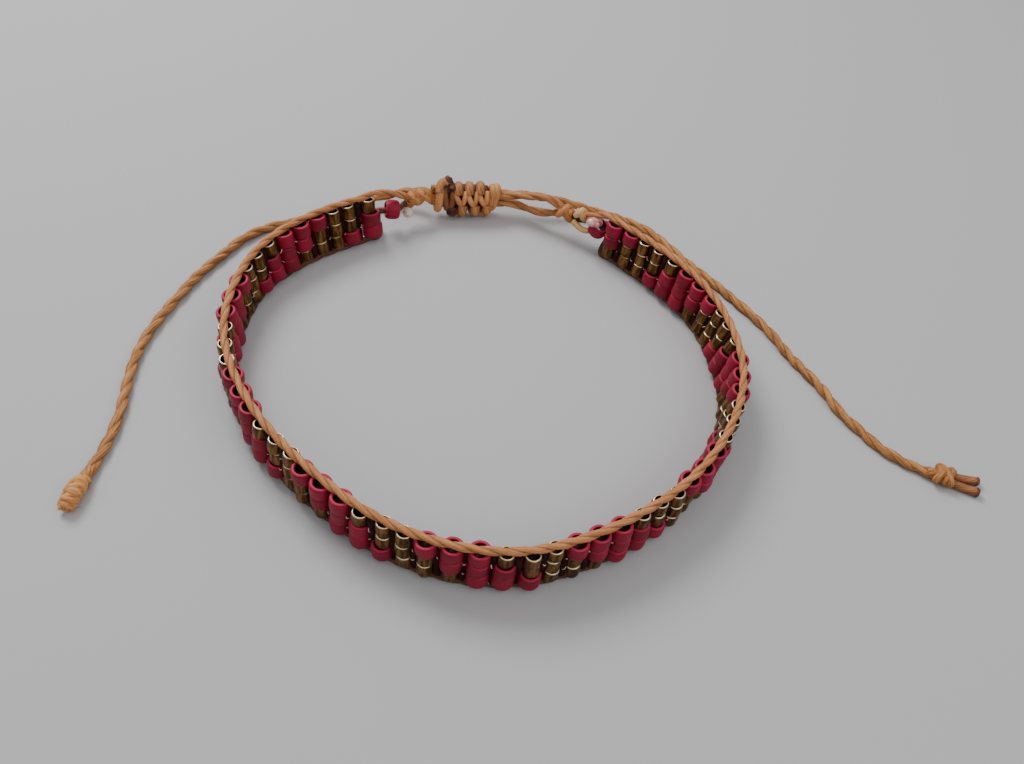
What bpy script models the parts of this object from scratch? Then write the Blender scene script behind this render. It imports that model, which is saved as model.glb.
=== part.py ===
"""Bead-woven cord bracelet with a sliding square-knot closure and two knotted pull cords.

One row of upright bead columns, three cylinder beads high, is sewn between two waxed cords. The band stands
on its lower cord. Metres, +Z up, origin at the middle of the loop on the floor.
"""
import math

import bmesh
import bpy
import numpy as np
from mathutils import Matrix, Vector

MM = 0.001

# Beads of the band
RED_DIAMETER = 2.2 * MM
GOLD_DIAMETER = 1.65 * MM
BEAD_LENGTH = 1.62 * MM
BEAD_HOLE_DIAMETER = 1.3 * MM
BEAD_CHAMFER = 0.2 * MM
ROWS = 3
COLUMNS = 59
PATTERN_REPEAT = 6
GOLD_RUN = 3
COLUMN_GAP = 0.13 * MM
COLUMN_SIDES = 10
THREAD_WALL = 0.5 * MM
THREAD_WALL_INSET = 0.3 * MM

# Cords and the gap kept between touching pieces
EDGE_CORD_DIAMETER = 0.72 * MM
CLOSURE_CORD_DIAMETER = 0.95 * MM
TAIL_DIAMETER = 1.1 * MM
CLEARANCE = 0.2 * MM
CORD_SIDES = 8

# Stretches of the loop that the band doesn't take
LEFT_STRETCH = 9.3 * MM
SLIDING_KNOT_LENGTH = 8.2 * MM
RIGHT_STRETCH = 16.0 * MM

# Knots, as length and diameter
LEFT_END_KNOT = {"from": 5.2 * MM, "length": 3.0 * MM, "diameter": 1.9 * MM, "height": 3.6 * MM}
LEFT_NECK_DIAMETER = 1.2 * MM
LEFT_NECK_HEIGHT = 2.3 * MM
RIGHT_TAN_KNOT = {"from": 4.1 * MM, "length": 1.7 * MM, "diameter": 1.5 * MM, "height": 4.2 * MM}
RIGHT_END_KNOT = {"from": 6.05 * MM, "length": 2.05 * MM, "diameter": 2.1 * MM, "height": 3.4 * MM}
SLIDING_KNOT_HEIGHT = 4.1 * MM
SLIDING_KNOT_THICKNESS = 2.2 * MM
SLIDING_KNOT_FLOOR_GAP = 0.4 * MM
SLIDING_KNOT_WRAPS = 6
BURNT_END_DIAMETER = 1.3 * MM
LEFT_TAIL_KNOT_LENGTH = 4.0 * MM
LEFT_TAIL_KNOT_DIAMETER = 2.1 * MM
RIGHT_TAIL_KNOT_LENGTH = 1.9 * MM
RIGHT_TAIL_KNOT_WIDTH = 2.6 * MM
RIGHT_TAIL_KNOT_HEIGHT = 1.8 * MM
TAIL_END_LENGTH = 2.8 * MM
TAIL_END_DIAMETER = 0.78 * MM
TAIL_END_FLARE = 1.1 * MM

# Centres of the end beads and glue drops, as distance past the end column, height and distance outward.
# The left bead lies on the lower cord, which runs through its hole, and the right one stands.
LEFT_BEAD_SPOT = (3.75 * MM, 2.9 * MM, -0.3 * MM)
RIGHT_BEAD_SPOT = (2.33 * MM, 3.4 * MM, 0.0)
LEFT_DROP_SPOT = (5.4 * MM, LEFT_END_KNOT["height"] - 1.5 * MM, -0.65 * MM)
RIGHT_DROP_SPOT = (2.75 * MM, 4.55 * MM, -0.6 * MM)
LEFT_DROP_SIZE = (0.9 * MM, 0.9 * MM, 1.2 * MM)
RIGHT_DROP_SIZE = (1.2 * MM, 1.2 * MM, 0.54 * MM)

# Plan of the loop along its upper cord, in mm before it is scaled to the loop's length. It starts at the
# band's left end, runs round the front, and ends with the closure.
LOOP_SHAPE = (
    (-17.4, 21.2), (-22.35, 16.7), (-26.2, 10.7), (-27.3, 3.8), (-26.2, -3.0), (-22.95, -9.0),
    (-18.45, -14.0), (-13.05, -18.1), (-7.1, -21.4), (-0.6, -23.1), (6.05, -22.75), (12.2, -20.0),
    (17.55, -15.9), (22.0, -10.85), (25.1, -4.9), (26.6, 1.5), (25.9, 8.15), (23.1, 14.4),
    (18.5, 19.45), (13.0, 23.4), (7.25, 26.8), (0.75, 28.8), (-6.25, 28.65), (-12.1, 25.4),
)

# Outward lean of the columns, as share along the band and degrees
LEAN = (
    (0.00, 13), (0.08, 12), (0.12, 7.5), (0.16, 6.5), (0.20, 3.5), (0.24, -1), (0.33, -3), (0.42, -2),
    (0.50, -1.5), (0.66, -1), (0.70, 2), (0.74, 7), (0.79, 9), (0.85, 10.5), (0.89, 7), (0.93, 6), (1.00, 3),
)

# Where the edge cords leave the band, as distance past the end column, height of the centre and distance
# outward, in mm. The last point of each is followed by the end knot.
LEFT_UPPER_RUN = ((1.2, 5.9, 0.0), (2.33, 5.55, 0.0), (3.4, 5.25, 0.0), (4.25, 4.75, 0.0))
LEFT_LOWER_RUN = (
    (1.2, 0.36, -1.1), (1.7, 0.6, -0.65), (1.75, 1.1, 0.0), (1.5, 1.8, 0.5), (1.7, 2.45, 0.55),
    (2.3, 2.8, 0.15), (2.9, 2.9, -0.3), (4.6, 2.9, -0.3),
)
RIGHT_UPPER_RUN = ((1.2, 5.88, 0.0), (2.33, 5.5, 0.0), (3.2, 5.0, 0.0))
RIGHT_LOWER_RUN = (
    (1.2, 0.36, -0.3), (1.6, 0.75, 0.3), (1.5, 1.5, 1.0), (1.5, 2.5, 1.5), (2.3, 3.15, 1.75),
    (3.3, 3.2, 1.45), (4.2, 3.0, 0.9), (5.1, 2.9, 0.35),
)

# Routes of the free pull cords, as x, y and height of the centre, in mm of the same plan. They leave the
# sliding knot, pass behind the band and lie on the floor.
FLOOR_LEVEL = 0.56
LEFT_TAIL_ROUTE = (
    (-13.2, 28.2, 2.8), (-16.0, 27.6, 1.9), (-20.0, 25.8, 0.9), (-24.0, 23.0, FLOOR_LEVEL),
    (-26.9, 20.9, FLOOR_LEVEL), (-29.4, 18.8, FLOOR_LEVEL), (-31.1, 16.4, FLOOR_LEVEL),
    (-32.6, 12.9, FLOOR_LEVEL), (-33.8, 9.9, FLOOR_LEVEL), (-34.6, 6.9, FLOOR_LEVEL),
    (-35.3, 3.8, FLOOR_LEVEL), (-35.8, 0.8, FLOOR_LEVEL), (-36.0, -2.1, FLOOR_LEVEL),
    (-35.8, -4.9, FLOOR_LEVEL), (-35.4, -7.3, FLOOR_LEVEL), (-35.0, -9.2, FLOOR_LEVEL),
    (-34.6, -11.4, FLOOR_LEVEL), (-34.4, -13.6, FLOOR_LEVEL), (-34.4, -15.8, FLOOR_LEVEL),
    (-34.6, -18.6, FLOOR_LEVEL),
)
RIGHT_TAIL_ROUTE = (
    (2.2, 30.3, 2.7), (6.0, 30.8, 2.1), (10.0, 31.0, 1.3), (13.8, 30.8, 0.75), (17.0, 29.7, FLOOR_LEVEL),
    (21.4, 25.4, FLOOR_LEVEL), (26.3, 20.8, FLOOR_LEVEL), (28.4, 18.6, FLOOR_LEVEL),
    (30.7, 16.1, FLOOR_LEVEL), (32.4, 13.8, FLOOR_LEVEL), (33.8, 11.4, FLOOR_LEVEL),
    (35.1, 9.6, FLOOR_LEVEL), (36.5, 7.8, FLOOR_LEVEL), (37.7, 6.0, FLOOR_LEVEL),
    (38.5, 4.4, FLOOR_LEVEL), (39.7, 2.7, FLOOR_LEVEL), (41.1, 1.2, FLOOR_LEVEL),
    (42.4, -0.2, FLOOR_LEVEL), (43.9, -1.3, FLOOR_LEVEL), (45.6, -2.2, FLOOR_LEVEL),
    (47.8, -2.9, FLOOR_LEVEL),
)
TAIL_POINT_STEP = 2.4 * TAIL_DIAMETER

# Colours, as linear red, green and blue, then roughness and metallic
RED_FINISH = ((0.30, 0.012, 0.035), 0.55, 0.0)
CORD_FINISH = ((0.50, 0.22, 0.09), 0.60, 0.0)
TAIL_FINISH = ((0.46, 0.17, 0.05), 0.60, 0.0)
BAND_FINISH = ((0.22, 0.05, 0.03), 0.45, 0.2)
TAN_FINISH = ((0.62, 0.34, 0.14), 0.60, 0.0)
BURNT_FINISH = ((0.09, 0.03, 0.012), 0.50, 0.0)
GLUE_FINISH = ((0.72, 0.52, 0.46), 0.15, 0.0)


def clear_scene():
    """Remove what a new file holds."""
    for item in list(bpy.data.objects):
        bpy.data.objects.remove(item)


def new_material(name, finish):
    """A plain material from a colour, a roughness and a metallic value."""
    colour, roughness, metallic = finish
    made = bpy.data.materials.new(name)
    made.use_nodes = True
    shader = made.node_tree.nodes["Principled BSDF"]
    shader.inputs["Base Color"].default_value = (*colour, 1.0)
    shader.inputs["Roughness"].default_value = roughness
    shader.inputs["Metallic"].default_value = metallic
    return made


def smooth_curve(points, closed):
    """Coefficients of the smooth curve through points, as (knots, points, second derivatives)."""
    points = np.array(points, float)
    if closed:
        points = np.vstack([points, points[:1]])
    knots = np.concatenate([[0.0], np.cumsum(np.linalg.norm(np.diff(points, axis=0), axis=1))])
    spans = np.diff(knots)
    count = len(points)
    matrix = np.eye(count)
    right = np.zeros_like(points)
    slopes = np.diff(points, axis=0) / spans[:, None]
    for i in range(1, count - 1):
        matrix[i, i - 1 : i + 2] = spans[i - 1], 2 * (spans[i - 1] + spans[i]), spans[i]
        right[i] = 6 * (slopes[i] - slopes[i - 1])
    if closed:
        matrix[0, :2] = 2 * (spans[-1] + spans[0]), spans[0]
        matrix[0, count - 2] = spans[-1]
        right[0] = 6 * (slopes[0] - slopes[-1])
        matrix[-1, 0] = -1.0
    return knots, points, np.linalg.solve(matrix, right)


def read_curve(curve, at):
    """The points of a smooth curve at the knot values in at."""
    knots, points, bends = curve
    at = np.asarray(at, float)
    i = np.clip(np.searchsorted(knots, at, side="right") - 1, 0, len(knots) - 2)
    span = (knots[i + 1] - knots[i])[:, None]
    after = (at - knots[i])[:, None] / span
    before = 1.0 - after
    bow = ((before**3 - before) * bends[i] + (after**3 - after) * bends[i + 1]) * span**2 / 6
    return before * points[i] + after * points[i + 1] + bow


def even_points(points, step):
    """Points about step apart along the smooth open curve through points."""
    curve = smooth_curve(points, closed=False)
    fine = read_curve(curve, np.linspace(0.0, curve[0][-1], 40 * len(points)))
    along = np.concatenate([[0.0], np.cumsum(np.linalg.norm(np.diff(fine, axis=0), axis=1))])
    at = np.linspace(0.0, along[-1], math.ceil(along[-1] / step) + 1)
    return np.stack([np.interp(at, along, fine[:, k]) for k in range(3)], axis=1)


def is_gold(column, row):
    """Whether a bead is a gold one. Row 0 is the top one, and each row repeats the pattern one column later."""
    return (column - row) % PATTERN_REPEAT < GOLD_RUN


def bead_radius(column, row):
    """The radius of the bead at a column and a row."""
    return (GOLD_DIAMETER if is_gold(column, row) else RED_DIAMETER) / 2


def column_places():
    """How far along the band each column stands. Neighbours are kept apart by their widest pair of beads."""
    places = [0.0]
    for column in range(COLUMNS - 1):
        widest = max(bead_radius(column, row) + bead_radius(column + 1, row) for row in range(ROWS))
        places.append(places[-1] + widest + COLUMN_GAP)
    return places


class Loop:
    """The bracelet's loop in plan, scaled to the length of its band and closure."""

    def __init__(self, places):
        self.band = places[-1]
        self.length = self.band + LEFT_STRETCH + SLIDING_KNOT_LENGTH + RIGHT_STRETCH
        curve = smooth_curve(LOOP_SHAPE, closed=True)
        fine = read_curve(curve, np.linspace(0.0, curve[0][-1], 2401))
        along = np.concatenate([[0.0], np.cumsum(np.linalg.norm(np.diff(fine, axis=0), axis=1))])
        self.scale = self.length / along[-1]
        self.along = along * self.scale
        self.fine = fine * self.scale
        self.sway = self.along[1] / 2

    def plan(self, distance):
        """The place in plan at a distance along the loop, measured from the first column."""
        at = distance % self.length
        return Vector([float(np.interp(at, self.along, self.fine[:, k])) for k in range(2)] + [0.0])

    def heading(self, distance):
        """The direction of the loop at a distance along it."""
        return (self.plan(distance + self.sway) - self.plan(distance - self.sway)).normalized()

    def outward(self, distance):
        """The level direction that points away from the wrist."""
        heading = self.heading(distance)
        return Vector((heading.y, -heading.x, 0.0))

    def point(self, distance, height, out=0.0):
        """A point at a height above the floor and a level distance outward from the loop."""
        return self.plan(distance) + self.outward(distance) * out + Vector((0.0, 0.0, height))

    def past_left(self, spot):
        """A point past the band's left end, from its distance past it, height and distance outward."""
        return self.point(-spot[0], spot[1], spot[2])

    def past_right(self, spot):
        """A point past the band's right end, from its distance past it, height and distance outward."""
        return self.point(self.band + spot[0], spot[1], spot[2])

    def upright(self, distance):
        """The direction that the columns stand in."""
        shares, angles = zip(*LEAN)
        lean = math.radians(float(np.interp(distance / self.band, shares, angles)))
        return Vector((0.0, 0.0, math.cos(lean))) + self.outward(distance) * math.sin(lean)

    def column_frame(self, distance, climb):
        """A frame at a column, climb up from the lower cord: X along the band and Z up the column."""
        up = self.upright(distance)
        along = self.heading(distance)
        rotation = Matrix((along, up.cross(along), up)).transposed().to_4x4()
        back = -up.dot(self.outward(distance)) * (EDGE_CORD_DIAMETER + ROWS * BEAD_LENGTH)
        return Matrix.Translation(self.point(distance, lower_cord_level(), back) + up * climb) @ rotation


def lower_cord_level():
    """The height of the lower cord's centre, with one flat of its profile on the floor."""
    return EDGE_CORD_DIAMETER / 2 * math.cos(math.pi / CORD_SIDES)


def add_object(name, data, parts, finish_material):
    """A named object in the bracelet's collection and under its empty."""
    made = bpy.data.objects.new(name, data)
    parts["collection"].objects.link(made)
    made.parent = parts["root"]
    if finish_material:
        made.data.materials.clear()
        made.data.materials.append(finish_material)
    return made


def turned_mesh(profile, sides, closed=False):
    """A mesh turned about Z from a profile of (radius, height) that runs down its outer side."""
    mesh = bpy.data.meshes.new("profile")
    edges = [(i, i + 1) for i in range(len(profile) - 1)]
    if closed:
        edges.append((len(profile) - 1, 0))
    mesh.from_pydata([(radius, 0.0, height) for radius, height in profile], edges, [])
    source = bpy.data.objects.new("profile", mesh)
    bpy.context.scene.collection.objects.link(source)
    screw = source.modifiers.new("turn", "SCREW")
    screw.steps = sides
    screw.render_steps = sides
    screw.use_merge_vertices = True
    screw.merge_threshold = 0.01 * MM
    screw.use_smooth_shade = False
    turned = bpy.data.meshes.new_from_object(source.evaluated_get(bpy.context.evaluated_depsgraph_get()))
    bpy.data.objects.remove(source)
    return turned


def barrel_profile(length, diameter, end_diameter, shoulder):
    """A rounded barrel from 0 to length, top first: flat ends, a shoulder at each and a straight middle."""
    half, end = diameter / 2, end_diameter / 2
    return (
        (0.0, length), (end, length), (half, length - shoulder), (half, shoulder), (end, 0.0), (0.0, 0.0),
    )


def pointing(start, end):
    """A frame at start whose Z points to end."""
    turn = (end - start).to_track_quat("Z", "Y").to_matrix().to_4x4()
    return Matrix.Translation(start) @ turn


def add_turned(name, profile, frame, parts, finish_material, sides=12, closed=False):
    """A turned piece placed by a frame."""
    made = add_object(name, turned_mesh(profile, sides, closed), parts, finish_material)
    made.matrix_local = frame
    return made


def add_tube(name, points, diameter, parts, finish_material, turn=0.0):
    """A cord along points, with its eight-sided profile turned by an angle."""
    curve = bpy.data.curves.new(name, "CURVE")
    curve.dimensions = "3D"
    curve.twist_mode = "Z_UP"
    curve.bevel_depth = diameter / 2
    curve.bevel_resolution = CORD_SIDES // 2 - 2
    curve.use_fill_caps = True
    line = curve.splines.new("POLY")
    line.points.add(len(points) - 1)
    for target, point in zip(line.points, points):
        target.co = (*point, 1.0)
        target.tilt = turn
    return add_object(name, curve, parts, finish_material)


def union(target, tools, parts):
    """Join closed tool objects to a target, one Boolean for each."""
    for tool in tools:
        parts["cutters"].objects.link(tool)
        tool.parent = target.parent
        tool.hide_render = True
        tool.display_type = "WIRE"
        join = target.modifiers.new(tool.name, "BOOLEAN")
        join.operation = "UNION"
        join.solver = "EXACT"
        join.object = tool


def column_mesh(column):
    """The stepped post of one column, from the lower cord's clearance to the upper cord's."""
    height = ROWS * BEAD_LENGTH - 2 * CLEARANCE
    steps = [height - (row * BEAD_LENGTH - CLEARANCE) for row in range(1, ROWS)]
    profile = [(0.0, height)]
    level = height
    for row in range(ROWS):
        radius = bead_radius(column, row)
        if profile[-1][0] != radius:
            profile.append((radius, level))
        level = steps[row] if row < ROWS - 1 else 0.0
        if row < ROWS - 1 and bead_radius(column, row + 1) == radius:
            continue
        profile.append((radius, level))
    profile.append((0.0, 0.0))
    return turned_mesh(profile, COLUMN_SIDES)


def add_band(loop, places, parts, finish_material):
    """The bead columns, joined by the wall of sewing thread that runs between them."""
    climb = EDGE_CORD_DIAMETER / 2 + CLEARANCE
    height = ROWS * BEAD_LENGTH - 2 * CLEARANCE
    shapes = [column_mesh(column) for column in range(PATTERN_REPEAT)]
    posts = bmesh.new()
    for column, place in enumerate(places):
        first = len(posts.verts)
        posts.from_mesh(shapes[column % PATTERN_REPEAT])
        posts.verts.ensure_lookup_table()
        bmesh.ops.transform(posts, matrix=loop.column_frame(place, climb), verts=posts.verts[first:])
    posts_mesh = bpy.data.meshes.new("bead_posts")
    posts.to_mesh(posts_mesh)
    posts.free()
    wall = bmesh.new()
    bmesh.ops.create_grid(wall, x_segments=len(places) - 1, y_segments=1, size=1.0)
    for corner in wall.verts:
        place = places[round((corner.co.x + 1) / 2 * (len(places) - 1))]
        inset = THREAD_WALL_INSET if corner.co.y < 0 else height - THREAD_WALL_INSET
        corner.co = loop.column_frame(place, climb + inset).translation
    wall_mesh = bpy.data.meshes.new("bead_band")
    wall.to_mesh(wall_mesh)
    wall.free()
    band = add_object("bead_band", wall_mesh, parts, finish_material)
    thicken = band.modifiers.new("thread_wall", "SOLIDIFY")
    thicken.thickness = THREAD_WALL
    thicken.offset = 0.0
    union(band, [bpy.data.objects.new("bead_posts", posts_mesh)], parts)
    return band


def add_end_bead(name, frame, parts, finish_material):
    """A drilled red bead with chamfered rims, its hole along the frame's Z."""
    half, outer, hole = BEAD_LENGTH / 2, RED_DIAMETER / 2, BEAD_HOLE_DIAMETER / 2
    profile = (
        (outer - BEAD_CHAMFER, half), (outer, half - BEAD_CHAMFER), (outer, BEAD_CHAMFER - half),
        (outer - BEAD_CHAMFER, -half), (hole, -half), (hole, half),
    )
    return add_turned(name, profile, frame, parts, finish_material, closed=True)


def edge_cord_points(loop, places, climb, left_run, right_run, left_end, right_end):
    """The route of an edge cord: from its left end knot along the band to its right end knot."""
    points = [left_end]
    points += [loop.point(-past * MM, height * MM, out * MM) for past, height, out in reversed(left_run)]
    points += [loop.column_frame(place, climb).translation for place in places]
    points += [loop.point(loop.band + past * MM, height * MM, out * MM) for past, height, out in right_run]
    points.append(right_end)
    return points


def knot_ends(loop, knot, side):
    """The two end points of an end knot's axis. side is -1 past the left end and 1 past the right end."""
    start = loop.band if side > 0 else 0.0
    near = loop.point(start + side * knot["from"], knot["height"])
    far = loop.point(start + side * (knot["from"] + knot["length"]), knot["height"])
    return near, far


def add_end_knot(name, loop, knot, side, parts, finish_material):
    """A wrapped end knot as a barrel with rounded shoulders."""
    near, far = knot_ends(loop, knot, side)
    profile = barrel_profile((far - near).length, knot["diameter"], 0.85 * knot["diameter"], 0.3 * MM)
    return add_turned(name, profile, pointing(near, far), parts, finish_material)


def flattened(name, size, centre):
    """A low ellipsoid of full size (x, y, z) as a tool object."""
    shape = bmesh.new()
    bmesh.ops.create_uvsphere(shape, u_segments=12, v_segments=8, radius=0.5)
    bmesh.ops.transform(
        shape, matrix=Matrix.Translation(centre) @ Matrix.Diagonal((*size, 1.0)), verts=shape.verts
    )
    mesh = bpy.data.meshes.new(name)
    shape.to_mesh(mesh)
    shape.free()
    return bpy.data.objects.new(name, mesh)


class SlidingKnot:
    """The sliding knot's own frame: X from its left end to its right end, Y outward and Z up."""

    def __init__(self, loop):
        self.height = SLIDING_KNOT_FLOOR_GAP + SLIDING_KNOT_HEIGHT / 2
        self.left = loop.point(-LEFT_STRETCH, self.height)
        self.right = loop.point(-LEFT_STRETCH - SLIDING_KNOT_LENGTH, self.height)
        self.along = (self.right - self.left).normalized()
        self.length = (self.right - self.left).length
        self.out = Vector((-self.along.y, self.along.x, 0.0))

    def at(self, along, out, height):
        """A point in metres, with its height above the floor."""
        level = Vector((0.0, 0.0, height - self.height))
        return self.left + self.along * along + self.out * out + level

    def frame(self):
        """The frame of the knot's own mesh, at its left end."""
        turn = Matrix((self.along, self.out, Vector((0.0, 0.0, 1.0)))).transposed().to_4x4()
        return Matrix.Translation(self.left) @ turn


def add_sliding_knot(knot, parts, finish_material):
    """Six lobed wraps over the cords, a wider last wrap and the two burnt ends, fused."""
    pitch = knot.length / (SLIDING_KNOT_WRAPS + 0.5)
    wrap = (1.5 * pitch, SLIDING_KNOT_THICKNESS, 0.88 * SLIDING_KNOT_HEIGHT)
    stagger = (SLIDING_KNOT_HEIGHT - wrap[2]) / 2
    tools = []
    for number in range(SLIDING_KNOT_WRAPS):
        rise = stagger if number % 2 else -stagger
        tools.append(flattened(f"knot_wrap_{number}", wrap, Vector(((number + 0.75) * pitch, 0.0, rise))))
    last = (1.6 * pitch, SLIDING_KNOT_THICKNESS, SLIDING_KNOT_HEIGHT)
    tools.append(flattened("knot_wrap_last", last, Vector((knot.length - last[0] / 2, 0.0, 0.0))))
    burnt = (BURNT_END_DIAMETER, BURNT_END_DIAMETER, BURNT_END_DIAMETER)
    edge = SLIDING_KNOT_HEIGHT / 2 - BURNT_END_DIAMETER / 2
    for number, (level, out) in enumerate(((edge + 0.25 * BURNT_END_DIAMETER, 0.2), (-edge, -0.5))):
        centre = Vector((1.55 * pitch, out * SLIDING_KNOT_THICKNESS / 2, level))
        tools.append(flattened(f"burnt_end_{number}", burnt, centre))
    core_profile = barrel_profile(knot.length, 0.8 * SLIDING_KNOT_THICKNESS, 0.7 * SLIDING_KNOT_THICKNESS, 0.2 * MM)
    core = turned_mesh(core_profile, 12)
    core.transform(Matrix.Rotation(math.radians(90), 4, "Y") @ Matrix.Diagonal((1.5, 1.0, 1.0, 1.0)))
    made = add_object("sliding_knot", core, parts, finish_material)
    made.matrix_local = knot.frame()
    for tool in tools:
        tool.matrix_local = knot.frame()
    union(made, tools, parts)
    return made


def add_left_end_knot(loop, knot, parts, finish_material):
    """The left end knot, with the narrow neck that runs on into the sliding knot."""
    near, far = knot_ends(loop, LEFT_END_KNOT, -1)
    made = add_end_knot("left_end_knot", loop, LEFT_END_KNOT, -1, parts, finish_material)
    start = far + (near - far) * 0.3
    end = knot.at(-CLEARANCE - 0.3 * LEFT_NECK_DIAMETER, -0.15 * SLIDING_KNOT_THICKNESS, LEFT_NECK_HEIGHT)
    length = (end - start).length
    neck = turned_mesh(barrel_profile(length, LEFT_NECK_DIAMETER, 0.9 * LEFT_NECK_DIAMETER, 0.1 * MM), 12)
    neck_tool = bpy.data.objects.new("left_neck", neck)
    neck_tool.matrix_local = pointing(start, end)
    union(made, [neck_tool], parts)
    return made


def add_glue_drop(name, size, centre, parts, finish_material):
    """A small clear drop on the wrist side of the cords."""
    tool = flattened("drop", size, Vector())
    made = add_object(name, tool.data, parts, finish_material)
    bpy.data.objects.remove(tool)
    made.matrix_local = Matrix.Translation(centre)
    return made


def tail_points(loop, exit_point, route):
    """The even points of a pull cord, from the sliding knot along its chosen route."""
    scaled = [Vector((x * loop.scale, y * loop.scale, height * MM)) for x, y, height in route]
    points = even_points([exit_point, *scaled], TAIL_POINT_STEP)
    points[:, 2] = np.maximum(points[:, 2], FLOOR_LEVEL * MM)
    return points


def add_tail_knots(left_line, right_line, parts, finishes):
    """The end knots of both pull cords, and the two cord ends past the right one."""
    left_heading = Vector(left_line[-1] - left_line[-2]).normalized()
    start = Vector(left_line[-1]) + left_heading * CLEARANCE
    start.z = LEFT_TAIL_KNOT_DIAMETER / 2
    profile = (
        (0.0, LEFT_TAIL_KNOT_LENGTH),
        (0.22 * LEFT_TAIL_KNOT_DIAMETER, LEFT_TAIL_KNOT_LENGTH),
        (0.38 * LEFT_TAIL_KNOT_DIAMETER, 0.85 * LEFT_TAIL_KNOT_LENGTH),
        (0.5 * LEFT_TAIL_KNOT_DIAMETER, 0.55 * LEFT_TAIL_KNOT_LENGTH),
        (0.5 * LEFT_TAIL_KNOT_DIAMETER, 0.3 * LEFT_TAIL_KNOT_LENGTH),
        (0.36 * LEFT_TAIL_KNOT_DIAMETER, 0.0),
        (0.0, 0.0),
    )
    level = Vector((left_heading.x, left_heading.y, 0.0))
    add_turned("left_tail_knot", profile, pointing(start, start + level), parts, finishes["tail"])

    heading = Vector(right_line[-1] - right_line[-2])
    heading.z = 0.0
    heading.normalize()
    side = Vector((-heading.y, heading.x, 0.0))
    half = RIGHT_TAIL_KNOT_LENGTH / 2
    centre = Vector(right_line[-1]) + heading * (CLEARANCE + half)
    centre.z = RIGHT_TAIL_KNOT_HEIGHT / 2
    middle = (0.5 * RIGHT_TAIL_KNOT_WIDTH, 0.3 * RIGHT_TAIL_KNOT_LENGTH)
    profile = (
        (0.0, half), (0.36 * RIGHT_TAIL_KNOT_WIDTH, half), middle,
        (middle[0], -middle[1]), (0.36 * RIGHT_TAIL_KNOT_WIDTH, -half), (0.0, -half),
    )
    knot = add_turned("right_tail_knot", profile, Matrix(), parts, finishes["tail"])
    flat = Matrix.Diagonal((1.0, RIGHT_TAIL_KNOT_HEIGHT / RIGHT_TAIL_KNOT_WIDTH, 1.0, 1.0))
    turn = Matrix((side, Vector((0.0, 0.0, 1.0)), heading)).transposed().to_4x4()
    knot.data.transform(turn @ flat)
    knot.data.transform(Matrix.Translation(centre))

    rod, flare = TAIL_END_DIAMETER / 2, TAIL_END_FLARE / 2
    profile = (
        (0.0, TAIL_END_LENGTH), (0.8 * flare, TAIL_END_LENGTH), (flare, 0.92 * TAIL_END_LENGTH),
        (rod, 0.65 * TAIL_END_LENGTH), (rod, 0.0), (0.0, 0.0),
    )
    for name, sign, slant in (("right_tail_end_upper", 1.0, 0.02), ("right_tail_end_lower", -1.0, -0.16)):
        apart = sign * (TAIL_END_DIAMETER + CLEARANCE) / 2
        base = centre + heading * (half + CLEARANCE) + side * apart
        base.z = TAIL_END_FLARE / 2
        away = base + (heading + side * (sign * 0.09 + slant / 2)).normalized()
        add_turned(name, profile, pointing(base, away), parts, finishes["burnt"])


def centre_on_origin(parts, free_names):
    """Move the bracelet so that the box of all but its free cords stands centred on the origin."""
    bpy.context.view_layer.update()
    graph = bpy.context.evaluated_depsgraph_get()
    corners = []
    for item in parts["collection"].objects:
        if item.type == "EMPTY" or item.name in free_names:
            continue
        shown = item.evaluated_get(graph)
        mesh = shown.to_mesh()
        corners += [item.matrix_world @ vertex.co for vertex in mesh.vertices]
        shown.to_mesh_clear()
    places = np.array(corners)
    middle = (places.min(axis=0) + places.max(axis=0)) / 2
    parts["root"].location = (-middle[0], -middle[1], 0.0)


def shade_round(parts):
    """Smooth shading with sharp edges kept."""
    for item in parts["collection"].objects:
        if item.type == "MESH":
            item.data.shade_smooth()
            item.data.set_sharp_from_angle(angle=math.radians(40))


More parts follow.
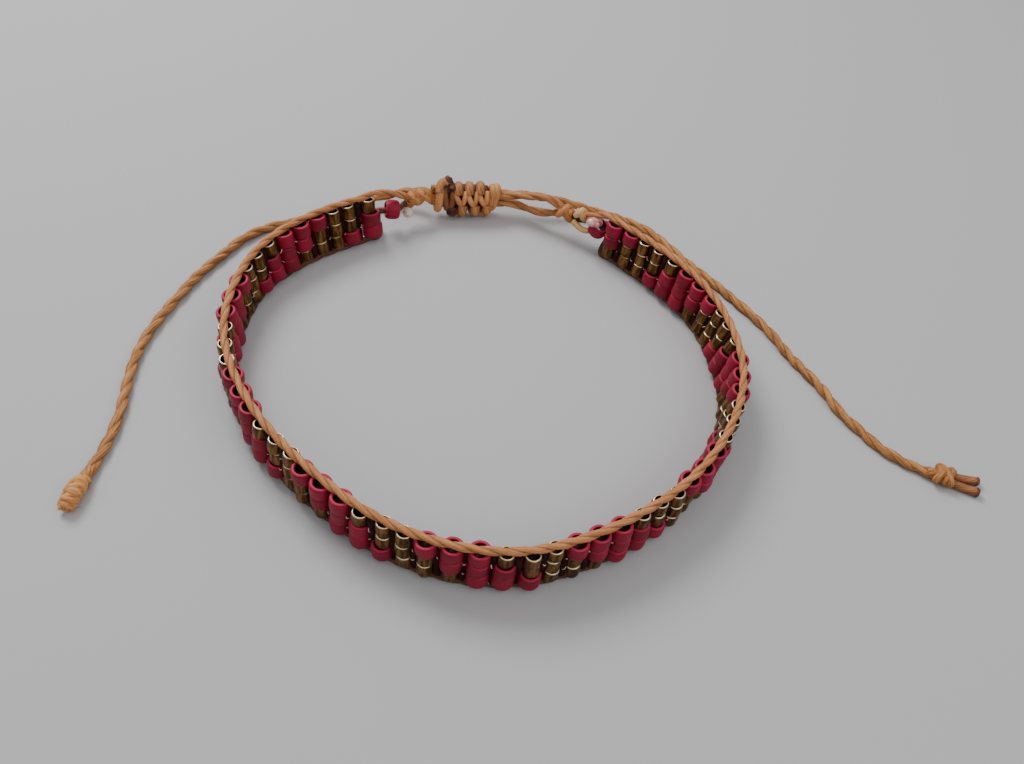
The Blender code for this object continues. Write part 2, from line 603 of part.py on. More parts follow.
def main():
    """Build the bracelet."""
    clear_scene()
    collection = bpy.data.collections.new("bead_woven_bracelet")
    cutters = bpy.data.collections.new("cutters")
    bpy.context.scene.collection.children.link(collection)
    bpy.context.scene.collection.children.link(cutters)
    root = bpy.data.objects.new("bracelet", None)
    collection.objects.link(root)
    parts = {"collection": collection, "cutters": cutters, "root": root}
    finishes = {
        name: new_material(name, finish)
        for name, finish in (
            ("red", RED_FINISH), ("cord", CORD_FINISH), ("tail", TAIL_FINISH), ("band", BAND_FINISH),
            ("tan", TAN_FINISH), ("burnt", BURNT_FINISH), ("glue", GLUE_FINISH),
        )
    }

    places = column_places()
    loop = Loop(places)
    knot = SlidingKnot(loop)
    add_band(loop, places, parts, finishes["band"])
    left_bead = loop.past_left(LEFT_BEAD_SPOT)
    lying = pointing(left_bead, left_bead + loop.heading(-LEFT_BEAD_SPOT[0]))
    add_end_bead("left_end_bead", lying, parts, finishes["red"])
    standing = Matrix.Translation(loop.past_right(RIGHT_BEAD_SPOT))
    add_end_bead("right_end_bead", standing, parts, finishes["red"])

    left_near = loop.point(CLEARANCE - LEFT_END_KNOT["from"], LEFT_END_KNOT["height"])
    apart = (EDGE_CORD_DIAMETER + CLEARANCE) / 2
    tan_near = loop.point(loop.band + RIGHT_TAN_KNOT["from"] - CLEARANCE, RIGHT_TAN_KNOT["height"])
    low_near = loop.point(
        loop.band + RIGHT_END_KNOT["from"] - CLEARANCE, RIGHT_END_KNOT["height"] - apart
    )
    lift = Vector((0.0, 0.0, apart))
    top_climb = EDGE_CORD_DIAMETER + ROWS * BEAD_LENGTH
    upper = edge_cord_points(
        loop, places, top_climb, LEFT_UPPER_RUN, RIGHT_UPPER_RUN, left_near + lift, tan_near
    )
    lower = edge_cord_points(
        loop, places, 0.0, LEFT_LOWER_RUN, RIGHT_LOWER_RUN, left_near - lift, low_near
    )
    flat_side = math.pi / CORD_SIDES
    add_tube("upper_edge_cord", upper, EDGE_CORD_DIAMETER, parts, finishes["cord"], flat_side)
    add_tube("lower_edge_cord", lower, EDGE_CORD_DIAMETER, parts, finishes["cord"], flat_side)

    add_left_end_knot(loop, knot, parts, finishes["cord"])
    add_end_knot("right_tan_knot", loop, RIGHT_TAN_KNOT, 1, parts, finishes["tan"])
    add_end_knot("right_end_knot", loop, RIGHT_END_KNOT, 1, parts, finishes["cord"])
    add_sliding_knot(knot, parts, finishes["cord"])

    spread = (CLOSURE_CORD_DIAMETER + CLEARANCE) / 2
    start = loop.band + RIGHT_END_KNOT["from"] + RIGHT_END_KNOT["length"] + CLEARANCE
    middle = (start + loop.band + RIGHT_STRETCH) / 2
    inward = -0.16 * SLIDING_KNOT_THICKNESS
    for name, sign, bow in (("upper_closure_cord", 1.0, 0.75 * MM), ("lower_closure_cord", -1.0, 0.85 * MM)):
        route = [
            loop.point(start, RIGHT_END_KNOT["height"] + sign * spread),
            loop.point(middle, (RIGHT_END_KNOT["height"] + knot.height) / 2 + sign * (spread + bow)),
            knot.at(knot.length + CLEARANCE, inward, knot.height + sign * spread),
        ]
        points = even_points(route, CLOSURE_CORD_DIAMETER)
        add_tube(name, points, CLOSURE_CORD_DIAMETER, parts, finishes["cord"])

    left_drop, right_drop = loop.past_left(LEFT_DROP_SPOT), loop.past_right(RIGHT_DROP_SPOT)
    add_glue_drop("left_glue_drop", LEFT_DROP_SIZE, left_drop, parts, finishes["glue"])
    add_glue_drop("right_glue_drop", RIGHT_DROP_SIZE, right_drop, parts, finishes["glue"])

    left_exit = knot.at(-CLEARANCE, 0.3 * SLIDING_KNOT_THICKNESS, knot.height + 1.1 * MM)
    right_exit = knot.at(knot.length + CLEARANCE, 0.36 * SLIDING_KNOT_THICKNESS, knot.height + 0.1 * MM)
    left_line = tail_points(loop, left_exit, LEFT_TAIL_ROUTE)
    right_line = tail_points(loop, right_exit, RIGHT_TAIL_ROUTE)
    add_tube("left_tail", left_line, TAIL_DIAMETER, parts, finishes["tail"])
    add_tube("right_tail", right_line, TAIL_DIAMETER, parts, finishes["tail"])
    add_tail_knots(left_line, right_line, parts, finishes)

    free = (
        "left_tail", "right_tail", "left_tail_knot", "right_tail_knot",
        "right_tail_end_upper", "right_tail_end_lower",
    )
    centre_on_origin(parts, free)
    shade_round(parts)


main()
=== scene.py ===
"""A bead-woven cord bracelet on a plain pale floor.

Three-high columns of red and gold beads are sewn between two twisted cords. A sliding square knot closes the
loop, and two free pull cords lie on the floor. Metres, +Z up, the loop's middle at the origin.
"""

import logging
import math
from dataclasses import dataclass, field
from enum import Enum

import bmesh
import bpy
import numpy as np
from mathutils import Matrix, Vector

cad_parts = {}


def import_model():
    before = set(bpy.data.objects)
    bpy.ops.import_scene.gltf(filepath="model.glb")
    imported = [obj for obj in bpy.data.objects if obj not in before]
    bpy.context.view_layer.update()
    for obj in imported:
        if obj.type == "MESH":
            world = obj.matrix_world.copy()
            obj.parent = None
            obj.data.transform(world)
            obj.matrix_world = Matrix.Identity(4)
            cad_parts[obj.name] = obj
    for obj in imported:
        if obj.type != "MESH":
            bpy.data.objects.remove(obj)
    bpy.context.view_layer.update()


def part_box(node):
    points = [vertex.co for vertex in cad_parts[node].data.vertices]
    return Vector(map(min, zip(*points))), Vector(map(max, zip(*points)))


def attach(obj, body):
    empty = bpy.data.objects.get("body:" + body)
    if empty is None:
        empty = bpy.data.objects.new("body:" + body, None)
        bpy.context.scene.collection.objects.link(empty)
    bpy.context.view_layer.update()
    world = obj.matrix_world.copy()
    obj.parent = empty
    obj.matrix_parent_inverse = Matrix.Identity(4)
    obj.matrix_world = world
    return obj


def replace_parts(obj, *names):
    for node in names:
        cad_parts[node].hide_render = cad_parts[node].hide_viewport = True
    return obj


LOG = logging.getLogger("bracelet")
MM = 0.001
BODY = "root"
UP = np.array([0.0, 0.0, 1.0])

Colour = tuple[float, float, float]
Point = tuple[float, float, float]
Route = tuple[Point, ...]

# Stretches of the loop between the end columns, in mm: up to the sliding knot, the knot and past it
LEFT_STRETCH = 9.3
KNOT_STRETCH = 8.2
RIGHT_STRETCH = 16.0

# How far each ply sits from the middle of its cord and how thick it is, as shares of the cord's diameter
PLY_OFFSET = 0.15
PLY_THICKNESS = 0.71

# Distance between the points of a cord and of a wrap
CORD_STEP = 0.3 * MM
WRAP_STEP = 0.2 * MM

# Number of sides of a strand
FINE_SIDES = 3
THREAD_SIDES = 6
THIN_SIDES = 8
CORD_SIDES = 10
THICK_SIDES = 12

# Where the loop's own plan lies in the shared frame, in mm
PLAN_SHIFT = (0.3407, -2.7409)

# Plan of the loop along its upper cord, in mm
LOOP_SHAPE = (
    (-17.4, 21.2), (-22.35, 16.7), (-26.2, 10.7), (-27.3, 3.8), (-26.2, -3.0), (-22.95, -9.0),
    (-18.45, -14.0), (-13.05, -18.1), (-7.1, -21.4), (-0.6, -23.1), (6.05, -22.75), (12.2, -20.0),
    (17.55, -15.9), (22.0, -10.85), (25.1, -4.9), (26.6, 1.5), (25.9, 8.15), (23.1, 14.4),
    (18.5, 19.45), (13.0, 23.4), (7.25, 26.8), (0.75, 28.8), (-6.25, 28.65), (-12.1, 25.4),
)

# Outward lean of the columns, as share along the band and degrees
LEAN = (
    (0.00, 13), (0.08, 12), (0.12, 7.5), (0.16, 6.5), (0.20, 3.5), (0.24, -1), (0.33, -3), (0.42, -2),
    (0.50, -1.5), (0.66, -1), (0.70, 2), (0.74, 7), (0.79, 9), (0.85, 10.5), (0.89, 7), (0.93, 6), (1.00, 3),
)

# Where the edge cords leave the band: distance past the end column, height and distance outward, in mm
LEFT_UPPER_RUN = ((1.2, 5.9, 0.0), (2.33, 5.55, 0.0), (3.4, 5.25, 0.0), (4.25, 4.75, 0.0))
LEFT_LOWER_RUN = (
    (1.2, 0.36, -1.1), (1.7, 0.6, -0.65), (1.75, 1.1, 0.0), (1.5, 1.8, 0.5), (1.7, 2.45, 0.55),
    (2.3, 2.8, 0.15), (2.9, 2.9, -0.3), (4.6, 2.9, -0.3),
)
RIGHT_UPPER_RUN = ((1.2, 5.88, 0.0), (2.33, 5.5, 0.0), (3.2, 5.0, 0.0))
RIGHT_LOWER_RUN = (
    (1.1, 0.36, -0.28), (1.4, 0.75, 0.3), (1.4, 1.5, 1.0), (1.5, 2.5, 1.5), (2.3, 3.15, 1.75),
    (3.3, 3.2, 1.45), (4.2, 3.0, 0.9), (5.1, 2.9, 0.35),
)

# The single beads: distance past the end column, height and distance outward in mm, lean and turn in degrees
LEFT_END_BEAD = (-3.42, 2.9, -0.3, 84.0, -20.0)
RIGHT_END_BEAD = (2.33, 3.4, 0.0, -24.0, 0.0)

# The tan thread from its knot to the right end bead, given as the runs above are
TAN_LEAD = ((5.7, 3.0, -0.55), (4.8, 2.75, -0.7), (3.9, 2.65, -0.7), (3.3, 2.8, -0.5))

# The two closure cords: distance past the band, their middle height and how far each is from it, in mm
CLOSURE_RUN = ((7.6, 3.4, 0.3), (8.5, 3.4, 0.75), (9.8, 3.25, 1.15), (12.2, 2.85, 0.95), (14.4, 2.6, 0.62))

# The burnt lumps on the sliding knot: place in the knot's own frame and radius, in mm
BURNT_LUMPS = (
    (1.7, 0.6, 2.35, 0.56), (1.95, 0.4, 2.0, 0.58), (2.15, -0.1, 1.7, 0.5),
    (2.1, -1.0, -1.0, 0.55), (2.3, -0.85, -1.4, 0.58), (1.95, -0.9, -1.5, 0.45),
)

# Routes of the pull cords from the sliding knot, as x, y and height of the centre, in mm of the loop's plan
FLOOR_LEVEL = 0.56
LEFT_TAIL_ROUTE = (
    (-13.2, 27.95, 2.3), (-16.0, 27.3, 1.6), (-20.0, 25.4, 1.0), (-23.8, 22.5, FLOOR_LEVEL),
    (-26.7, 20.5, FLOOR_LEVEL), (-29.3, 18.7, FLOOR_LEVEL), (-31.1, 16.4, FLOOR_LEVEL),
    (-32.6, 12.9, FLOOR_LEVEL), (-33.8, 9.9, FLOOR_LEVEL), (-34.6, 6.9, FLOOR_LEVEL),
    (-35.3, 3.8, FLOOR_LEVEL), (-35.8, 0.8, FLOOR_LEVEL), (-36.0, -2.1, FLOOR_LEVEL),
    (-35.8, -4.9, FLOOR_LEVEL), (-35.4, -7.3, FLOOR_LEVEL), (-35.0, -9.2, FLOOR_LEVEL),
    (-34.6, -11.4, FLOOR_LEVEL), (-34.4, -13.6, FLOOR_LEVEL), (-34.4, -15.8, FLOOR_LEVEL),
    (-34.6, -18.6, FLOOR_LEVEL),
)
RIGHT_TAIL_ROUTE = (
    (2.2, 30.3, 2.7), (6.0, 30.8, 2.1), (10.0, 31.0, 1.3), (13.8, 30.8, 0.75), (17.0, 29.7, FLOOR_LEVEL),
    (21.4, 25.4, FLOOR_LEVEL), (26.3, 20.8, FLOOR_LEVEL), (28.4, 18.6, FLOOR_LEVEL),
    (30.7, 16.1, FLOOR_LEVEL), (32.4, 13.8, FLOOR_LEVEL), (33.8, 11.4, FLOOR_LEVEL),
    (35.1, 9.6, FLOOR_LEVEL), (36.5, 7.8, FLOOR_LEVEL), (37.7, 6.0, FLOOR_LEVEL),
    (38.5, 4.4, FLOOR_LEVEL), (39.7, 2.7, FLOOR_LEVEL), (41.1, 1.2, FLOOR_LEVEL),
    (42.4, -0.2, FLOOR_LEVEL), (43.9, -1.3, FLOOR_LEVEL), (45.6, -2.2, FLOOR_LEVEL),
    (47.8, -2.9, FLOOR_LEVEL),
)


class BeadKind(Enum):
    """The two kinds of bead in the band."""

    RED = "red"
    GOLD = "gold"


# Routes


def smooth_curve(points: np.ndarray, closed: bool) -> tuple[np.ndarray, np.ndarray, np.ndarray]:
    """The smooth curve through points.

    Args:
        points: The points that it passes through.
        closed: Whether the curve closes on itself.

    Returns:
        The knot values, the points and the second derivatives.
    """
    points = np.array(points, float)
    if closed:
        points = np.vstack([points, points[:1]])
    knots = np.concatenate([[0.0], np.cumsum(np.linalg.norm(np.diff(points, axis=0), axis=1))])
    spans = np.diff(knots)
    count = len(points)
    matrix = np.eye(count)
    right = np.zeros_like(points)
    slopes = np.diff(points, axis=0) / spans[:, None]
    for i in range(1, count - 1):
        matrix[i, i - 1 : i + 2] = spans[i - 1], 2 * (spans[i - 1] + spans[i]), spans[i]
        right[i] = 6 * (slopes[i] - slopes[i - 1])
    if closed:
        matrix[0, :2] = 2 * (spans[-1] + spans[0]), spans[0]
        matrix[0, count - 2] = spans[-1]
        right[0] = 6 * (slopes[0] - slopes[-1])
        matrix[-1, 0] = -1.0
    return knots, points, np.linalg.solve(matrix, right)


def read_curve(curve: tuple[np.ndarray, np.ndarray, np.ndarray], at: np.ndarray) -> np.ndarray:
    """The points of a smooth curve.

    Args:
        curve: What smooth_curve returned.
        at: The knot values to read.

    Returns:
        One point for each value.
    """
    knots, points, bends = curve
    i = np.clip(np.searchsorted(knots, at, side="right") - 1, 0, len(knots) - 2)
    span = (knots[i + 1] - knots[i])[:, None]
    after = (at - knots[i])[:, None] / span
    before = 1.0 - after
    bow = ((before**3 - before) * bends[i] + (after**3 - after) * bends[i + 1]) * span**2 / 6
    return before * points[i] + after * points[i + 1] + bow


def even_points(points: np.ndarray, step: float) -> np.ndarray:
    """Points at even distances along the smooth open curve through points.

    Args:
        points: The points that the curve passes through.
        step: The distance between two points, at most.

    Returns:
        The points, with the first and the last one of the curve.
    """
    curve = smooth_curve(points, closed=False)
    fine = read_curve(curve, np.linspace(0.0, curve[0][-1], 30 * (len(points) + 1)))
    along = np.concatenate([[0.0], np.cumsum(np.linalg.norm(np.diff(fine, axis=0), axis=1))])
    at = np.linspace(0.0, along[-1], math.ceil(along[-1] / step) + 1)
    return np.stack([np.interp(at, along, fine[:, k]) for k in range(fine.shape[1])], axis=1)


def travelling_frames(points: np.ndarray, closed: bool) -> tuple[np.ndarray, np.ndarray, np.ndarray]:
    """Frames that turn as little as they can along a line.

    Args:
        points: The line.
        closed: Whether it closes on itself.

    Returns:
        The directions along, across and up at each point.
    """
    if closed:
        ahead = np.roll(points, -1, axis=0) - np.roll(points, 1, axis=0)
    else:
        ahead = np.gradient(points, axis=0)
    ahead = ahead / np.linalg.norm(ahead, axis=1)[:, None]
    up = np.zeros_like(points)
    start = UP
    if abs(ahead[0] @ start) > 0.9:
        start = np.array([0.0, 1.0, 0.0])
    for i in range(len(points)):
        start = start - (start @ ahead[i]) * ahead[i]
        start = start / np.linalg.norm(start)
        up[i] = start
    if closed:
        first = up[0] - (up[0] @ ahead[-1]) * ahead[-1]
        miss = math.atan2(np.cross(up[-1], first) @ ahead[-1], up[-1] @ first)
        for i in range(len(points)):
            angle = miss * i / len(points)
            up[i] = up[i] * math.cos(angle) + np.cross(ahead[i], up[i]) * math.sin(angle)
    return ahead, np.cross(up, ahead), up


@dataclass
class LoopLine:
    """The bracelet's loop: the band's columns and the stretches that its closure takes.

    Its last eight values are worked out: the place of each column, the length of the band and of the loop,
    the scale of the plan, the distance and the place of its fine points, its shift, and the height of the
    columns' base.
    """

    red_diameter: float = 2.2 * MM
    gold_diameter: float = 1.65 * MM
    bead_length: float = 1.62 * MM
    column_gap: float = 0.13 * MM
    columns: int = 59
    rows: int = 3
    repeat: int = 6
    gold_run: int = 3
    cord_diameter: float = 0.72 * MM
    closure: float = (LEFT_STRETCH + KNOT_STRETCH + RIGHT_STRETCH) * MM
    places: list[float] = field(init=False)
    band: float = field(init=False)
    length: float = field(init=False)
    scale: float = field(init=False)
    along: np.ndarray = field(init=False)
    fine: np.ndarray = field(init=False)
    shift: np.ndarray = field(init=False)
    base: float = field(init=False)

    def __post_init__(self) -> None:
        """Space the columns and scale the plan to the loop's length."""
        self.places = [0.0]
        for column in range(self.columns - 1):
            pairs = (
                self.radius(self.kind(column, row)) + self.radius(self.kind(column + 1, row))
                for row in range(self.rows)
            )
            self.places.append(self.places[-1] + max(pairs) + self.column_gap)
        self.band = self.places[-1]
        self.length = self.band + self.closure
        curve = smooth_curve(np.array(LOOP_SHAPE), closed=True)
        fine = read_curve(curve, np.linspace(0.0, curve[0][-1], 2401))
        along = np.concatenate([[0.0], np.cumsum(np.linalg.norm(np.diff(fine, axis=0), axis=1))])
        self.scale = self.length / along[-1]
        self.along = along * self.scale
        self.fine = fine * self.scale
        self.shift = np.array(PLAN_SHIFT) * MM
        self.base = self.cord_diameter / 2 * math.cos(math.pi / 8)

    def kind(self, column: int, row: int) -> BeadKind:
        """The kind of bead at a column and a row, row 0 on top."""
        return BeadKind.GOLD if (column - row) % self.repeat < self.gold_run else BeadKind.RED

    def radius(self, kind: BeadKind) -> float:
        """The radius of a kind of bead."""
        return (self.gold_diameter if kind is BeadKind.GOLD else self.red_diameter) / 2

    def plan(self, distance: float) -> np.ndarray:
        """The place on the floor at a distance along the loop.

        Args:
            distance: The distance from the first column.

        Returns:
            The place, at height 0.
        """
        at = distance % self.length
        place = [float(np.interp(at, self.along, self.fine[:, k])) + self.shift[k] for k in range(2)]
        return np.array([*place, 0.0])

    def heading(self, distance: float) -> np.ndarray:
        """The direction of the loop at a distance along it.

        Args:
            distance: The distance from the first column.

        Returns:
            The direction, of length 1.
        """
        sway = 0.3 * MM
        ahead = self.plan(distance + sway) - self.plan(distance - sway)
        return ahead / np.linalg.norm(ahead)

    def outward(self, distance: float) -> np.ndarray:
        """The level direction away from the wrist."""
        heading = self.heading(distance)
        return np.array([heading[1], -heading[0], 0.0])

    def point(self, distance: float, height: float, out: float = 0.0) -> np.ndarray:
        """A point at a height and a level distance outward from the loop."""
        return self.plan(distance) + self.outward(distance) * out + UP * height

    def upright(self, distance: float) -> np.ndarray:
        """The direction that the columns stand in.

        Args:
            distance: How far along the loop.

        Returns:
            The direction, of length 1.
        """
        shares, angles = zip(*LEAN)
        lean = math.radians(float(np.interp(distance / self.band, shares, angles)))
        return UP * math.cos(lean) + self.outward(distance) * math.sin(lean)

    def in_column(self, distance: float, along: float, out: float, climb: float) -> np.ndarray:
        """A point measured from a column.

        Args:
            distance: How far along the loop the column stands.
            along: How far along the band from its axis.
            out: How far outward from its axis.
            climb: How far up its axis from the lower cord.

        Returns:
            The point.
        """
        up = self.upright(distance)
        heading = self.heading(distance)
        outward = np.cross(heading, up)
        top = self.cord_diameter + self.rows * self.bead_length
        foot = self.point(distance, self.base, -float(up @ self.outward(distance)) * top)
        return foot + up * climb + heading * along + outward * out

    def column_frame(self, distance: float, climb: float) -> Matrix:
        """A frame up a column: X along the band, Z up the column.

        Args:
            distance: How far along the loop the column stands.
            climb: How far up its axis from the lower cord.

        Returns:
            The frame.
        """
        up = Vector(self.upright(distance))
        heading = Vector(self.heading(distance))
        turn = Matrix((heading, up.cross(heading), up)).transposed().to_4x4()
        return Matrix.Translation(Vector(self.in_column(distance, 0.0, 0.0, climb))) @ turn


# Modelling helpers


@dataclass
class Strand:
    """One round strand of cord, swept along a line.

    A taper scales its ends, and widths give its diameter point by point instead. The tone runs from dark to
    pale. A ply also has the direction away from its cord's middle at each point, for the painted shade in
    the creases.
    """

    line: np.ndarray
    diameter: float
    sides: int = CORD_SIDES
    closed: bool = False
    taper: tuple[float, float] = (1.0, 1.0)
    start: float = 0.0
    tone: float = 0.5
    away: np.ndarray | None = None
    widths: np.ndarray | None = None

    @staticmethod
    def crease_at(angle: float) -> float:
        """How deep in the crease between two plies a ply's skin lies, from 0 outside to 1 inside."""
        return min(1.0, max(0.0, -math.cos(angle) * 2.0 - 0.1))

    def add_to(self, shape: bmesh.types.BMesh) -> None:
        """Add this strand's skin, with its UV map, to a mesh.

        Args:
            shape: The mesh that is being made.
        """
        uv = shape.loops.layers.uv.get("CordUV") or shape.loops.layers.uv.new("CordUV")
        layers = shape.verts.layers.float
        crease_shade = layers.get("crease_shade") or layers.new("crease_shade")
        tone = layers.get("tone") or layers.new("tone")
        points = np.array(self.line, float)
        heading, across, up = travelling_frames(points, self.closed)
        if self.away is not None:
            across = self.away - np.sum(self.away * heading, axis=1)[:, None] * heading
            across /= np.linalg.norm(across, axis=1)[:, None]
            up = np.cross(heading, across)
        steps = np.linalg.norm(np.diff(points, axis=0), axis=1)
        along = np.concatenate([[0.0], np.cumsum(steps)]) / MM + self.start
        share = np.linspace(0.0, 1.0, len(points))
        radii = self.diameter / 2 * (self.taper[0] + (self.taper[1] - self.taper[0]) * share)
        if self.widths is not None:
            radii = self.widths / 2
        rings = []
        for i, point in enumerate(points):
            ring = []
            for angle in np.arange(self.sides) * 2 * math.pi / self.sides:
                side = across[i] * math.cos(angle) + up[i] * math.sin(angle)
                vertex = shape.verts.new(point + radii[i] * side)
                # How deep the skin lies between the plies, which sets the painted shade there
                vertex[crease_shade] = 0.0 if self.away is None else self.crease_at(angle)
                vertex[tone] = self.tone
                ring.append(vertex)
            rings.append(ring)
        count = len(rings) if self.closed else len(rings) - 1
        around = 1.0 / self.sides
        for i in range(count):
            near, far = rings[i], rings[(i + 1) % len(rings)]
            ends = (along[i], along[i + 1] if i + 1 < len(rings) else along[i] + steps[-1] / MM)
            for k in range(self.sides):
                m = (k + 1) % self.sides
                face = shape.faces.new((near[k], near[m], far[m], far[k]))
                spots = (
                    (ends[0], k * around), (ends[0], (k + 1) * around),
                    (ends[1], (k + 1) * around), (ends[1], k * around),
                )
                for loop, spot in zip(face.loops, spots):
                    loop[uv].uv = spot
        if not self.closed:
            for ring, sign in ((rings[0], -1), (rings[-1], 1)):
                cap = shape.faces.new(ring if sign < 0 else list(reversed(ring)))
                for loop in cap.loops:
                    loop[uv].uv = (along[0] if sign < 0 else along[-1], 0.5)


def lay_angles(line: np.ndarray, lay: float, phase: float = 0.0) -> np.ndarray:
    """The angle of a cord's first ply at each point of a line.

    Args:
        line: The middle of the cord.
        lay: The length of one full turn.
        phase: The angle at the start.

    Returns:
        One angle for each point.
    """
    steps = np.linalg.norm(np.diff(line, axis=0), axis=1)
    angles = phase + 2 * math.pi * np.concatenate([[0.0], np.cumsum(steps)]) / lay
    return angles + 0.35 * np.sin(0.31 * angles) + 0.22 * np.sin(0.83 * angles + 1.0)


def twisted_pair(line: np.ndarray, diameter: float, angles: np.ndarray) -> list[Strand]:
    """Two soft plies laid round each other along a line.

    Args:
        line: Even points along the middle of the cord.
        diameter: The diameter of the whole cord.
        angles: The angle of the first ply at each point.

    Returns:
        The two plies.
    """
    _, across, up = travelling_frames(line, False)
    plies = []
    for turn in (0.0, math.pi):
        away = np.cos(angles + turn)[:, None] * across + np.sin(angles + turn)[:, None] * up
        middle = line + PLY_OFFSET * diameter * away
        plies.append(Strand(middle, PLY_THICKNESS * diameter, start=9 * turn, away=away))
    return plies


def oval(
    centre: np.ndarray, axis: np.ndarray, up: np.ndarray, size: tuple[float, float], tilt: float, step: float
) -> np.ndarray:
    """Points round an oval wrap.

    Args:
        centre: The middle of the wrap.
        axis: The direction that the wrap goes round.
        up: The direction of its second radius.
        size: Its radii across and up.
        tilt: The slant along the axis at its highest point.
        step: The distance between points, at most.

    Returns:
        The closed line of points.
    """
    axis = axis / np.linalg.norm(axis)
    up = up - (up @ axis) * axis
    up = up / np.linalg.norm(up)
    side = np.cross(up, axis)
    count = max(12, math.ceil(math.pi * (size[0] + size[1]) / step))
    angles = np.arange(count) * 2 * math.pi / count
    wave = np.sin(angles)[:, None]
    return centre + np.cos(angles)[:, None] * side * size[0] + wave * up * size[1] + wave * axis * tilt


def whiskers(
    centre: np.ndarray, axis: np.ndarray, radius: float, length: float, count: int, seed: int
) -> list[Strand]:
    """Loose fibres that stand off a knot.

    Args:
        centre: The middle of the knot.
        axis: Its half length as a vector.
        radius: Its radius.
        length: The longest fibre.
        count: The number of fibres.
        seed: The seed of their places.

    Returns:
        The fibres.
    """
    rng = np.random.default_rng(seed)
    fibres = []
    for _ in range(count):
        away = rng.normal(size=3)
        away /= np.linalg.norm(away)
        start = centre + axis * rng.uniform(-1, 1) + away * radius * 0.7
        bend = rng.normal(size=3) * 0.5
        reach = length * rng.uniform(0.4, 1.0)
        line = np.array([start + (away * t + bend * t * t) * reach for t in np.linspace(0, 1, 5)])
        line[:, 2] = np.maximum(line[:, 2], 0.06 * MM)
        fibres.append(Strand(line, 0.07 * MM, FINE_SIDES, taper=(1.0, 0.4)))
    return fibres


def finish_object(obj: bpy.types.Object, material: bpy.types.Material) -> bpy.types.Object:
    """Give a piece its finish and let it ride on the bracelet.

    Args:
        obj: The piece.
        material: Its finish.

    Returns:
        The piece.
    """
    obj.data.materials.clear()
    obj.data.materials.append(material)
    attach(obj, BODY)
    LOG.info("%s: %d faces", obj.name, len(obj.data.polygons))
    return obj


def strands_object(
    name: str, strands: list[Strand], material: bpy.types.Material
) -> bpy.types.Object:
    """A piece made of strands.

    Args:
        name: Its name.
        strands: Its strands.
        material: Its finish.

    Returns:
        The piece.
    """
    shape = bmesh.new()
    for strand in strands:
        strand.add_to(shape)
    bmesh.ops.recalc_face_normals(shape, faces=shape.faces)
    for face in shape.faces:
        face.smooth = True
    mesh = bpy.data.meshes.new(name)
    shape.to_mesh(mesh)
    shape.free()
    made = bpy.data.objects.new(name, mesh)
    bpy.context.scene.collection.objects.link(made)
    return finish_object(made, material)


def select_only(*objects: bpy.types.Object) -> None:
    """Select objects and nothing else.

    Args:
        objects: The objects. The first one becomes the active one.
    """
    bpy.ops.object.select_all(action="DESELECT")
    for obj in objects:
        obj.select_set(True)
    bpy.context.view_layer.objects.active = objects[0]


def join_copies(name: str, master: bpy.types.Object, frames: list[Matrix]) -> bpy.types.Object:
    """Copies of a piece at several frames, joined into one object. The master is removed.

    Args:
        name: The joined object's name.
        master: The piece that is copied.
        frames: The place of each copy.

    Returns:
        The joined object, at the origin.
    """
    rng = np.random.default_rng(len(name) * 7 + len(frames))
    copies = []
    for frame in frames:
        copy = bpy.data.objects.new(name, master.data.copy())
        bpy.context.scene.collection.objects.link(copy)
        copy.data.transform(frame)
        tone = copy.data.attributes.new("bead_tone", "FLOAT", "POINT")
        tone.data.foreach_set("value", np.full(len(copy.data.vertices), rng.uniform(), np.float32))
        copies.append(copy)
    bpy.data.objects.remove(master)
    select_only(*copies)
    if len(copies) > 1:
        bpy.ops.object.join()
    copies[0].name = name
    return copies[0]


# Shader maths


class Shade:
    """One socket of a shader tree, for maths written as expressions."""

    def __init__(self, tree: bpy.types.NodeTree, socket: bpy.types.NodeSocket) -> None:
        """Hold a socket and its tree."""
        self.tree = tree
        self.socket = socket

    def maths(self, operation: str, *values: "Shade | float") -> "Shade":
        """A Math node on this value and others."""
        return add_node(self.tree, "ShaderNodeMath", {"operation": operation}, 0, (self, *values))

    def __add__(self, other: "Shade | float") -> "Shade":
        """This plus other."""
        return self.maths("ADD", other)

    def __radd__(self, other: float) -> "Shade":
        """Other plus this."""
        return self.maths("ADD", other)

    def __sub__(self, other: "Shade | float") -> "Shade":
        """This minus other."""
        return self.maths("SUBTRACT", other)

    def __rsub__(self, other: float) -> "Shade":
        """Other minus this."""
        return add_node(self.tree, "ShaderNodeMath", {"operation": "SUBTRACT"}, 0, (other, self))

    def __mul__(self, other: "Shade | float") -> "Shade":
        """This times other."""
        return self.maths("MULTIPLY", other)

    def __rmul__(self, other: float) -> "Shade":
        """Other times this."""
        return self.maths("MULTIPLY", other)

    def sine(self) -> "Shade":
        """The sine of this."""
        return self.maths("SINE")

    def between(self, low: float, high: float) -> "Shade":
        """0 below low, 1 above high and smooth between them."""
        settings = {"interpolation_type": "SMOOTHSTEP"}
        return add_node(self.tree, "ShaderNodeMapRange", settings, 0, (self, low, high, 0.0, 1.0))


def add_node(
    tree: bpy.types.NodeTree, kind: str, settings: dict, output: int | str, values: tuple | dict
) -> Shade:
    """Add a node.

    Args:
        tree: The shader tree.
        kind: The node's type.
        settings: Its settings, set first.
        output: The output that is used.
        values: A value or link for each input, in order or by name.

    Returns:
        The output.
    """
    node = tree.nodes.new(kind)
    for name, value in settings.items():
        setattr(node, name, value)
    pairs = values.items() if isinstance(values, dict) else enumerate(values)
    for key, value in pairs:
        if isinstance(value, Shade):
            tree.links.new(value.socket, node.inputs[key])
        else:
            node.inputs[key].default_value = value
    return Shade(tree, node.outputs[output])


